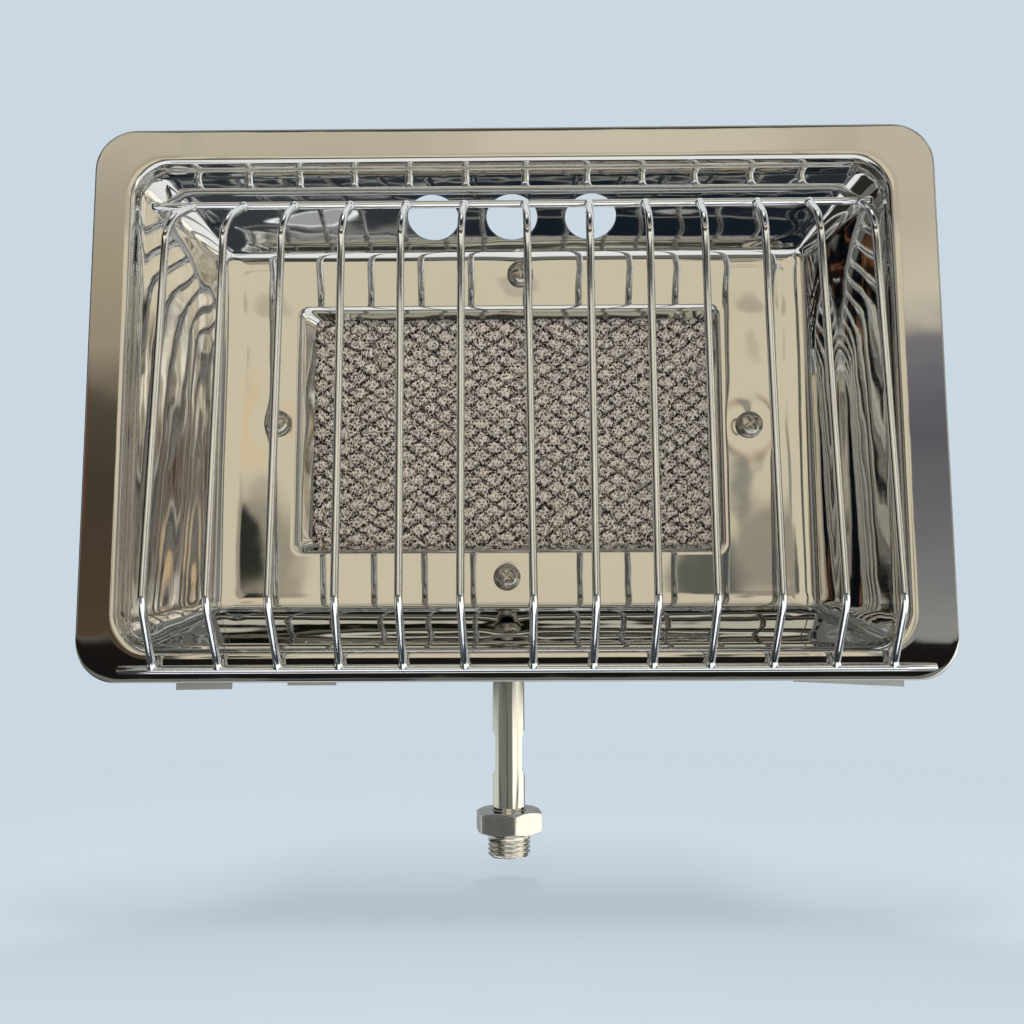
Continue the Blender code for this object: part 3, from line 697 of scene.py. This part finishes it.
def window_key(depth, inset, radius, size=PAN_MOUTH):
    """The pan's outline at a depth, drawn in from its mouth or another size."""
    half_width = size[0] - inset
    half_height = size[1] - inset
    return (
        depth, WINDOW[0] - half_width, WINDOW[0] + half_width,
        WINDOW[1] - half_height, WINDOW[1] + half_height, radius)


def make_pan():
    """The plenum behind the plaque, pressed from sheet, with the tube's hole in its underside."""
    keys = (
        window_key(PAN_FRONT, 0.0, 0.0060, PAN_FLANGE), window_key(PAN_FRONT, 0.0, 0.0026),
        window_key(PAN_LEDGE, 0.0, 0.0026), window_key(PAN_LEDGE, PAN_STEP, 0.0060),
        window_key(PAN_BACK, PAN_LEAN, 0.0060), window_key(PAN_BACK, 0.0300, 0.0050),
    )
    rows = blended(keys, PAN_ROUNDING, (6, 8, 3, 10, 4), 6)
    points = np.array([rounded_outline(row, 10, 30, 20) for row in rows])
    form = bmesh.new()
    form.from_mesh(grid_mesh("plenum_pan", points + np.array(DISH), True))
    form.verts.ensure_lookup_table()
    form.faces.new(form.verts[-points.shape[1]:])
    pan = link("plenum_pan", mesh_of(form, "plenum_pan", False))
    thicken(pan, SHEET)
    form = bmesh.new()
    add_rod(form, TUBE_RADIUS + GAP, 0.010, (0.0, 0.0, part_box("tube_collar")[1].z))
    add_screw_holes(form, PAN_FRONT)
    cut_with(pan, form)
    finish_piece(pan, "plain_steel", ["burner_pan"])


# ---- plaque

def nearest_hole(x, z, low, rng):
    """Distance from each point to the nearest burner hole's centre, in hole radii."""
    row_pitch = HOLE_PITCH * math.sqrt(3) / 2
    rows = int((z.max() - low.z) / row_pitch) + 3
    columns = int((x.max() - low.x) / HOLE_PITCH) + 3
    jitter = rng.normal(0.0, HOLE_PITCH * 0.12, (rows, columns, 2))
    size = rng.uniform(0.70, 1.30, (rows, columns))
    nearest = np.full(x.shape, 9.0)
    for row_offset in (-1, 0, 1):
        row = np.clip(np.round((z - low.z) / row_pitch).astype(int) + row_offset, 0, rows - 1)
        shift = (row % 2) * 0.5
        for column_offset in (-1, 0, 1):
            column = np.round((x - low.x) / HOLE_PITCH - shift).astype(int) + column_offset
            column = np.clip(column, 0, columns - 1)
            hole_x = low.x + (column + shift) * HOLE_PITCH + jitter[row, column, 0]
            hole_z = low.z + row * row_pitch + jitter[row, column, 1]
            distance = np.hypot(x - hole_x, z - hole_z)
            nearest = np.minimum(nearest, distance / (HOLE_RADIUS * size[row, column]))
    return nearest


def make_plaque():
    """Perforated tile: a relief of rhombi, with rows of small burner holes through it, and painted shade stored
    for its holes and grooves.
    """
    low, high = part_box("ceramic_plaque")
    columns = int((high.x - low.x) / PLAQUE_STEP)
    rows = int((high.z - low.z) / PLAQUE_STEP)
    x, z = np.meshgrid(np.linspace(low.x, high.x, columns), np.linspace(low.z, high.z, rows))
    rng = np.random.default_rng(7)
    bend = 0.00025 * np.sin(x * 210.0) + 0.00020 * np.sin(z * 260.0 + 1.0)
    first = (x + bend) / CELL_WIDTH + z / CELL_HEIGHT
    second = (x - bend) / CELL_WIDTH - z / CELL_HEIGHT
    to_groove = np.minimum(
        np.abs(first - np.round(first)), np.abs(second - np.round(second)))
    groove = 1 - smooth_step(0.03, 0.20, to_groove)
    hole = 1 - smooth_step(0.70, 1.35, nearest_hole(x, z, low, rng))
    edge = np.minimum(np.minimum(x - low.x, high.x - x), np.minimum(z - low.z, high.z - z))
    inside = smooth_step(0.0005, 0.0015, edge)
    rough = np.abs(rng.normal(0.0, PLAQUE_GRAIN, x.shape))
    depth = (GROOVE_DEPTH * groove + HOLE_DEPTH * hole + rough) * inside
    # painted shade: how dark each point of a hole or a groove is coloured
    shade = np.clip(0.62 * groove + 0.55 * hole, 0, 1) * inside
    mesh = grid_mesh("perforated_plaque", np.stack([x, low.y + depth, z], axis=2), False)
    form = bmesh.new()
    form.from_mesh(mesh)
    rim = [side for side in form.edges if side.is_boundary]
    made = bmesh.ops.extrude_edge_only(form, edges=rim)["geom"]
    for vert in made:
        if isinstance(vert, bmesh.types.BMVert):
            vert.co.y = high.y
    back = [side for side in made if isinstance(side, bmesh.types.BMEdge) and side.is_boundary]
    bmesh.ops.contextual_create(form, geom=back)
    mesh = mesh_of(form, "perforated_plaque")
    values = np.zeros(len(mesh.vertices), np.float32)
    values[:shade.size] = shade.ravel()
    # the depth attribute carries the painted shade of the holes and grooves
    mesh.attributes.new("depth", 'FLOAT', 'POINT').data.foreach_set("value", values)
    tile = link("perforated_plaque", mesh)
    finish_piece(tile, "ceramic", ["ceramic_plaque"], 70.0)


# ---- wires

def filleted(points, radii, steps):
    """A polyline with an arc in place of each inner corner."""
    path = [Vector(points[0])]
    for before, corner, after, radius in zip(points, points[1:], points[2:], radii):
        corner = Vector(corner)
        back = (Vector(before) - corner).normalized()
        ahead = (Vector(after) - corner).normalized()
        half = back.angle(ahead) / 2
        centre = corner + (back + ahead).normalized() * radius / math.sin(half)
        start = corner + back * radius / math.tan(half) - centre
        end = corner + ahead * radius / math.tan(half) - centre
        sweep = math.pi - 2 * half
        for step in range(steps + 1):
            share = step / steps
            spoke = start * math.sin((1 - share) * sweep) + end * math.sin(share * sweep)
            path.append(centre + spoke / math.sin(sweep))
    path.append(Vector(points[-1]))
    return path


def end_rings(tip, inward, radius):
    """Centres and radii that round off a wire's end."""
    angles = [math.pi / 2 * (step + 0.5) / CAP_STEPS for step in range(CAP_STEPS)]
    return [
        (tip + inward * CAP_BLUNTNESS * radius * (1 - math.cos(angle)), radius * math.sin(angle))
        for angle in angles]


def wire(name, path, nodes=()):
    """A round wire along a path, with rounded ends, that moves with the guard."""
    first = end_rings(path[0], (path[1] - path[0]).normalized(), WIRE_RADIUS)
    last = end_rings(path[-1], (path[-2] - path[-1]).normalized(), WIRE_RADIUS)
    rings = first + [(point, WIRE_RADIUS) for point in path[1:-1]] + last[::-1]
    start = path[1] - path[0]
    side = Vector((0.0, 1.0, 0.0)) if abs(start.x) > start.length * 0.9 else Vector((1.0, 0.0, 0.0))
    points = np.zeros((len(rings), WIRE_SIDES, 3))
    for number, (centre, size) in enumerate(rings):
        ahead = rings[min(number + 1, len(rings) - 1)][0] - rings[max(number - 1, 0)][0]
        ahead.normalize()
        side = (side - ahead * side.dot(ahead)).normalized()
        up = ahead.cross(side)
        for column in range(WIRE_SIDES):
            turn = 2 * math.pi * column / WIRE_SIDES
            points[number, column] = centre + size * (side * math.cos(turn) + up * math.sin(turn))
    form = bmesh.new()
    form.from_mesh(grid_mesh(name, points, True))
    form.verts.ensure_lookup_table()
    form.faces.new(form.verts[:WIRE_SIDES])
    form.faces.new(form.verts[-WIRE_SIDES:])
    item = link(name, mesh_of(form, name))
    return finish_piece(item, "bright_wire", nodes, body="guard")


def weld_bead(name, centre, away, along):
    """A flared fillet of weld metal where a rod runs into a bar."""
    turn = Matrix((along.cross(away), along, away)).transposed().to_4x4()
    matrix = Matrix.Translation(centre) @ turn
    columns = 24
    angles = np.linspace(0.0, 2 * math.pi, columns, endpoint=False)
    saddle = np.cos(angles) ** 2
    rings = [
        (0.0, WIRE_RADIUS * 0.5), (WIRE_RADIUS * (1.10 + 0.22 * saddle), WIRE_RADIUS * 0.55),
        (WIRE_RADIUS * (1.30 + 0.10 * (1 - saddle)), WIRE_RADIUS * (1.0 - 0.22 * saddle)),
        (WIRE_RADIUS * 1.16, WIRE_RADIUS * 1.45), (WIRE_RADIUS * 1.03, WIRE_RADIUS * 2.0),
        (0.0, WIRE_RADIUS * 2.0),
    ]
    bead = lathe(name, rings, columns, matrix)
    finish_piece(bead, "bright_wire", (), 70.0, "guard")


def spread(path, spacing):
    """The same path with points no further apart than the spacing."""
    points = [path[0]]
    for start, end in zip(path, path[1:]):
        count = max(1, math.ceil((end - start).length / spacing))
        points += [start.lerp(end, step / count) for step in range(1, count + 1)]
    return points


def make_guard():
    """The guard's rods and bars, with a weld where each rod meets a bar."""
    top = (HINGE.y - DISH.y, HINGE.z - DISH.z)
    bar_low, bar_high = (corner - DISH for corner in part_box("guard_bottom_bar"))
    bottom = ((bar_low.y + bar_high.y) / 2, (bar_low.z + bar_high.z) / 2)
    for number, (x_low, x_lower_bend, x_upper_bend, x_high) in enumerate(ROD_PLACES, 1):
        corners = [
            in_dish(x_high, *top), in_dish(x_upper_bend, *TOP_BEND),
            in_dish(x_lower_bend, *BOTTOM_BEND), in_dish(x_low, *bottom),
        ]
        path = filleted(corners, BEND_RADII, 14)
        wire(f"guard_wire_{number:02d}", spread(path, 0.004), [f"guard_rod_{number:02d}"])
        welds = (("top", corners[0], corners[1]), ("bottom", corners[3], corners[2]))
        for place, bar, neighbour in welds:
            away = (neighbour - bar).normalized()
            along = Vector((1.0, 0.0, 0.0))
            along = (along - away * along.dot(away)).normalized()
            weld_bead(f"guard_weld_{place}_{number:02d}", bar, away, along)
    for name in ("guard_top_bar", "guard_bottom_bar"):
        low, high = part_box(name)
        middle = (low + high) / 2
        ends = [Vector((low.x, middle.y, middle.z)), Vector((high.x, middle.y, middle.z))]
        wire(f"{name}_wire", spread(ends, 0.010), [name])


# ---- turned parts

FACING_FRONT = Matrix.Rotation(math.pi / 2, 4, 'X')


def head_rings(radius, height, turn, columns):
    """Rings over a domed head from its rim to its centre, with a cross recess pressed in."""
    angles = np.linspace(0.0, 2 * math.pi, columns, endpoint=False) - math.radians(turn)
    rings = []
    for share in np.linspace(1.0, 0.0, 34)[1:]:
        reach = radius * share
        dome = height * (1 - 0.34 * share ** 2 - 0.52 * share ** 9)
        across = np.abs(reach * np.cos(angles))
        upward = np.abs(reach * np.sin(angles))
        arms = np.maximum(
            smooth_step(*RECESS_WIDTHS, across) * smooth_step(*RECESS_REACHES, upward),
            smooth_step(*RECESS_WIDTHS, upward) * smooth_step(*RECESS_REACHES, across))
        rings.append((reach, dome - RECESS_DEPTH * arms * (1 - 0.25 * share)))
    return rings


def make_screw(name, place):
    """Pan-head screw with a cross recess and a threaded shank."""
    low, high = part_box(f"screw_{name}")
    seat = DISH.y + FLOOR_DEPTH - GAP
    columns = 96
    radius = (high.x - low.x) / 2
    height = seat - low.y
    shank = high.y - seat
    rings = [(0.0, -shank)]
    rings += thread_rings(
        SCREW_RADIUS, SCREW_THREAD_DEPTH, SCREW_THREAD_PITCH, -shank, -0.0006, columns, 0.0005)
    rings += [
        (SCREW_RADIUS, -0.0004), (SCREW_RADIUS, 0.0), (radius * 0.94, 0.0),
        (radius * 0.985, height * 0.03), (radius, height * 0.08),
    ]
    rings += head_rings(radius, height, SCREW_TURNS[name], columns)
    matrix = Matrix.Translation((place.x, seat, place.z)) @ FACING_FRONT
    screw = lathe(f"pan_screw_{name}", rings, columns, matrix)
    finish_piece(screw, "screw_steel", [f"screw_{name}"], 45.0)


def make_nut(name, place):
    """Hexagon nut behind the pan's flange."""
    low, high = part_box(f"nut_{name}")
    columns = 72
    height = high.y - low.y
    mouth = SCREW_HOLE + 0.0003
    rings = hex_rings(
        NUT_ACROSS_FLATS, columns, math.pi / 6, -height / 2, height / 2, mouth, mouth)
    rings += [(SCREW_HOLE, height / 2 - 0.0003), (SCREW_HOLE, -height / 2 + 0.0003)]
    matrix = Matrix.Translation((place.x, (low.y + high.y) / 2, place.z)) @ FACING_FRONT
    nut = lathe(f"hex_nut_{name}", rings, columns, matrix, True)
    finish_piece(nut, "zinc_plate", [f"nut_{name}"], 25.0)


def make_fitting():
    """Inlet: a male thread, the hexagon over it and the socket that holds the tube."""
    columns = 144
    rings = [(GAS_BORE + 0.0004, 0.0)]
    rings += thread_rings(
        THREAD_RADIUS, THREAD_DEPTH, THREAD_PITCH, 0.0, HEX_LOW - 0.0009, columns, THREAD_CHAMFER)
    relief = THREAD_RADIUS - THREAD_DEPTH
    rings += [(relief, HEX_LOW - 0.0007), (relief, HEX_LOW - 0.0001)]
    rings += hex_rings(
        HEX_ACROSS_FLATS, columns, HEX_TURN + math.pi / 2, HEX_LOW, HEX_HIGH, relief + 0.0001,
        TUBE_RADIUS + GAP + 0.0003)
    rings += [
        (TUBE_RADIUS + GAP, HEX_HIGH - 0.0003), (TUBE_RADIUS + GAP, SOCKET_FLOOR),
        (GAS_BORE, SOCKET_FLOOR), (GAS_BORE, 0.0004),
    ]
    fitting = lathe("gas_inlet_fitting", rings, columns, Matrix(), True)
    finish_piece(fitting, "zinc_plate", ["inlet_fitting"], 25.0)


def make_tube():
    """Mixer tube, with a rounded air slot through each side."""
    low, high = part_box("mixer_tube")
    rings = [(TUBE_RADIUS, low.z), (TUBE_RADIUS, low.z + 0.0002)]
    rings += [(TUBE_RADIUS, height) for height in np.linspace(low.z + 0.004, high.z - 0.002, 40)]
    rings += [(TUBE_RADIUS, high.z - 0.0002), (TUBE_RADIUS - 0.0002, high.z), (TUBE_BORE, high.z)]
    rings += [(TUBE_BORE, height) for height in np.linspace(high.z - 0.002, low.z, 20)]
    tube = lathe("mixer_tube_drawn", rings, 96, Matrix(), True)
    form = bmesh.new()
    half_width = SLOT_WIDTH / 2
    outline = []
    for step in range(2 * SLOT_STEPS):
        angle = math.pi * step / SLOT_STEPS
        middle = SLOT_HIGH - half_width if step <= SLOT_STEPS else SLOT_LOW + half_width
        outline.append((half_width * math.cos(angle), middle + half_width * math.sin(angle)))
    near = [form.verts.new((-SLOT_REACH, y, z)) for y, z in outline]
    far = [form.verts.new((SLOT_REACH, y, z)) for y, z in outline]
    form.faces.new(near)
    form.faces.new(far)
    for here in range(len(near)):
        there = (here + 1) % len(near)
        form.faces.new((near[here], near[there], far[there], far[here]))
    cut_with(tube, form)
    finish_piece(tube, "tube_steel", ["mixer_tube"], 35.0)


def make_collar():
    """Ferrule where the tube enters the pan, with a groove near its upper end."""
    low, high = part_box("tube_collar")
    radius = (high.x - low.x) / 2
    inner = TUBE_RADIUS + GAP
    rings = [
        (inner, low.z), (radius - 0.0008, low.z), (radius - 0.0002, low.z + 0.0004),
        (radius, low.z + 0.0010), (radius, high.z - 0.0016), (radius - 0.0003, high.z - 0.0011),
        (radius - 0.0003, high.z - 0.0008), (radius, high.z - 0.0004), (radius, high.z),
        (inner, high.z),
    ]
    collar = lathe("tube_ferrule", rings, 96, Matrix(), True)
    finish_piece(collar, "tube_steel", ["tube_collar"], 50.0)


def dress_frame_nodes():
    """Materials for the CAD nodes that stay as they are."""
    slots = {part["node"]: part["material_slot"] for part in frame["record"]["subparts"]}
    for name in ("plaque_gasket", "baffle", "gas_jet", "mounting_strip"):
        node = frame["nodes"][name]
        node.data.materials.clear()
        node.data.materials.append(MATERIALS[slots[name]])


# ---- studio

def tone(shade):
    """An sRGB colour, 0 to 255, as linear light."""
    return tuple((value / 255) ** 2.2 for value in shade)


def front_angles(nodes):
    """Azimuth of a direction, 0 at the front and positive to the right, and its elevation."""
    direction = nodes.add("ShaderNodeTexCoord").outputs["Generated"]
    split = nodes.add("ShaderNodeSeparateXYZ")
    nodes.join(direction, split.inputs[0])
    x, y, z = split.outputs
    azimuth = nodes.math('ARCTAN2', x, nodes.math('MULTIPLY', y, -1.0))
    elevation = nodes.math('ARCSINE', z)
    degrees = 180 / math.pi
    return nodes.math('MULTIPLY', azimuth, degrees), nodes.math('MULTIPLY', elevation, degrees)


def within(nodes, value, low, high, soft):
    """1 between low and high, with soft sides."""
    rise = nodes.step(value, low - soft, low + soft)
    fall = nodes.step(value, high - soft, high + soft)
    return nodes.math('SUBTRACT', rise, fall)


def framed(nodes, azimuth, elevation, sides, ends, side_soft, end_soft):
    """1 between two azimuths and two elevations, with soft edges."""
    return nodes.math(
        'MULTIPLY', within(nodes, azimuth, *sides, side_soft),
        within(nodes, elevation, *ends, end_soft))


def height_ramp(nodes, elevation, stops):
    """Colours that change with elevation, from stops of (degrees, colour)."""
    low, high = stops[0][0], stops[-1][0]
    share = nodes.math('DIVIDE', nodes.math('SUBTRACT', elevation, low), high - low)
    return nodes.ramp(
        share, *[((height - low) / (high - low), tone(shade)) for height, shade in stops])


def ellipse(nodes, first, second, centre, half, soft=(0.55, 1.25)):
    """1 inside an ellipse, with a soft edge."""
    across = nodes.math('DIVIDE', nodes.math('SUBTRACT', first, centre[0]), half[0])
    upward = nodes.math('DIVIDE', nodes.math('SUBTRACT', second, centre[1]), half[1])
    squares = nodes.math('ADD', nodes.math('POWER', across, 2.0), nodes.math('POWER', upward, 2.0))
    outside = nodes.step(nodes.math('SQRT', squares), *soft)
    return nodes.math('SUBTRACT', 1.0, outside)


def wandering(nodes, azimuth, elevation):
    """The two angles, shifted by slow noise, so that the edges drawn with them wander."""
    place = nodes.add("ShaderNodeCombineXYZ")
    nodes.join(nodes.math('MULTIPLY', azimuth, 0.30), place.inputs[0])
    nodes.join(nodes.math('MULTIPLY', elevation, 0.16), place.inputs[1])
    drift = nodes.fill(
        nodes.add("ShaderNodeTexNoise"), Scale=1.0, Vector=place.outputs[0])
    split = nodes.add("ShaderNodeSeparateColor")
    nodes.join(drift.outputs["Color"], split.inputs[0])
    moved = []
    for angle, part, reach in ((azimuth, 0, 2.2), (elevation, 1, 4.0)):
        shift = nodes.about_zero(split.outputs[part], reach)
        moved.append(nodes.math('ADD', angle, shift))
    return moved


def make_world():
    """Pale blue behind the object, and for its reflections a photo studio's cards and curtains."""
    world = bpy.data.worlds.new("studio")
    bpy.context.scene.world = world
    world.use_nodes = True
    nodes = Nodes(world.node_tree)
    azimuth, elevation = front_angles(nodes)
    colour = height_ramp(nodes, elevation, SKY)
    for *edges, side_soft, end_soft, shade in CARDS:
        mask = framed(nodes, azimuth, elevation, edges[:2], edges[2:], side_soft, end_soft)
        colour = nodes.mix(mask, colour, tone(shade))
    for left, right, soft, stops in SCREENS:
        ends = (stops[0][0], stops[-1][0])
        mask = framed(nodes, azimuth, elevation, (left, right), ends, soft, 0.3)
        colour = nodes.mix(mask, colour, height_ramp(nodes, elevation, stops))
    folds = nodes.add("ShaderNodeCombineXYZ")
    nodes.join(azimuth, folds.inputs[0])
    nodes.join(nodes.math('MULTIPLY', elevation, 0.05), folds.inputs[1])
    for *edges, scale, stops in CURTAINS:
        pattern = nodes.noise(folds.outputs[0], scale, 2.0, 0.55)
        streaks = nodes.ramp(pattern, *[(share, tone(shade)) for share, shade in stops])
        mask = framed(nodes, azimuth, elevation, edges[:2], edges[2:], 1.2, 2.0)
        colour = nodes.mix(mask, colour, streaks)
    moved_azimuth, moved_elevation = wandering(nodes, azimuth, elevation)
    for middle, height, half_width, half_height, share, shade in PATCHES:
        inside = ellipse(
            nodes, moved_azimuth, moved_elevation, (middle, height), (half_width, half_height))
        colour = nodes.mix(nodes.math('MULTIPLY', inside, share), colour, tone(shade))
    lit = nodes.light("ShaderNodeBackground", colour, STUDIO_STRENGTH)
    plain = nodes.light("ShaderNodeBackground", tone(BACKDROP))
    seen = nodes.add("ShaderNodeLightPath").outputs["Is Camera Ray"]
    nodes.finish(nodes.blend(seen, lit, plain), "ShaderNodeOutputWorld")


def flat_card(name, width, depth, place):
    """A level rectangle of the studio, with an empty material."""
    form = bmesh.new()
    bmesh.ops.create_grid(form, x_segments=4, y_segments=4, size=0.5)
    bmesh.ops.scale(form, verts=form.verts, vec=(width, depth, 1.0))
    card = link(name, mesh_of(form, name, False))
    card.location = place
    material, nodes = empty_material(name)
    card.data.materials.append(material)
    return card, nodes


def make_flag():
    """Dark glowing card on the ground in front, which only the polished metal sees: its tones, lines and pale spot
    are painted reflections.
    """
    width, depth, place = FLAG
    card, nodes = flat_card("studio_flag", width, depth, place)
    split = nodes.add("ShaderNodeSeparateXYZ")
    nodes.join(nodes.add("ShaderNodeNewGeometry").outputs["Position"], split.inputs[0])
    ripple = nodes.noise(nodes.place((1.0, 3.0, 1.0)), 30.0, 2.0)
    x = split.outputs[0]
    y = nodes.math('ADD', split.outputs[1], nodes.about_zero(ripple, 0.006))
    colour = nodes.mix(nodes.step(x, -0.10, 0.02), tone(FLAG_LEFT), tone(FLAG_RIGHT))
    colour = nodes.mix(nodes.step(y, -0.0860, -0.0845), tone(FLAG_FRONT), colour)
    for start, end, soft, shade in FLAG_LINES:
        colour = nodes.mix(within(nodes, y, start, end, soft), colour, tone(shade))
    rim = ellipse(nodes, x, y, *FLAG_SPOT, (1.05, 1.30))
    colour = nodes.mix(rim, colour, tone(FLAG_SPOT_RIM))
    face = ellipse(nodes, x, y, *FLAG_SPOT, (0.90, 1.00))
    colour = nodes.mix(face, colour, tone(FLAG_SPOT_FACE))
    # glowing colours that show only as painted reflections in the metal
    nodes.finish(nodes.light("ShaderNodeEmission", colour, STUDIO_STRENGTH))
    card.visible_camera = False
    card.visible_diffuse = False
    card.visible_shadow = False
    card.visible_transmission = False


def make_floor():
    """Plain pale floor, partly lit from within, that fades out into the background."""
    floor, nodes = flat_card("studio_floor", 1.2, 1.2, (0.0, 0.0, FLOOR_HEIGHT))
    length = nodes.add("ShaderNodeVectorMath", operation='LENGTH')
    nodes.join(nodes.place((1.0, 1.0, 1.0)), length.inputs[0])
    far = nodes.step(length.outputs["Value"], 0.16, 0.45)
    paper = nodes.fill(nodes.add("ShaderNodeBsdfDiffuse"), Color=FLOOR_TINT)
    glow = nodes.light("ShaderNodeEmission", tone(BACKDROP))
    lit = nodes.blend(FLOOR_GLOW, paper, glow)
    nodes.finish(nodes.blend(far, lit, nodes.add("ShaderNodeBsdfTransparent")))
    floor.visible_glossy = False


def soft_box(name, place, aim, size, power, colour):
    """Area light that isn't itself seen in the metal."""
    light = bpy.data.lights.new(name, 'AREA')
    light.shape = 'RECTANGLE'
    light.size, light.size_y = size
    light.energy = power
    light.color = colour
    item = link(name, light)
    item.location = place
    item.rotation_euler = (Vector(aim) - Vector(place)).to_track_quat('-Z', 'Y').to_euler()
    item.visible_glossy = False


def make_camera():
    """Low in front of the dish, looking up at it."""
    pitch, yaw, roll = (math.radians(angle) for angle in CAMERA_ANGLES)
    forward = Vector((
        math.sin(yaw) * math.cos(pitch), math.cos(yaw) * math.cos(pitch), math.sin(pitch)))
    level = forward.cross(Vector((0.0, 0.0, 1.0))).normalized()
    upright = level.cross(forward)
    right = level * math.cos(roll) + upright * math.sin(roll)
    up = upright * math.cos(roll) - level * math.sin(roll)
    camera = link("camera", bpy.data.cameras.new("camera"))
    turn = Matrix((right, up, -forward)).transposed().to_4x4()
    camera.matrix_world = Matrix.Translation(CAMERA_PLACE) @ turn
    camera.data.lens = 36.0
    camera.data.sensor_width = 36.0
    camera.data.clip_start = 0.01
    camera.data.clip_end = 20.0
    bpy.context.scene.camera = camera


make_camera()
make_world()
make_flag()
make_floor()
soft_box("overhead", (0.02, 0.0, 0.75), (0.0, 0.0, 0.0), (0.45, 0.12), 5.0, (1.0, 0.99, 0.97))
soft_box("front", (-0.25, -0.85, 0.65), DISH, (0.9, 0.7), 3.0, (1.0, 0.97, 0.93))
make_reflector()
make_pan()
make_plaque()
make_guard()
make_fitting()
make_tube()
make_collar()
for screw_name, screw_place in SCREWS.items():
    make_screw(screw_name, screw_place)
    make_nut(screw_name, screw_place)
dress_frame_nodes()

bpy.context.scene.view_settings.view_transform = 'Standard'
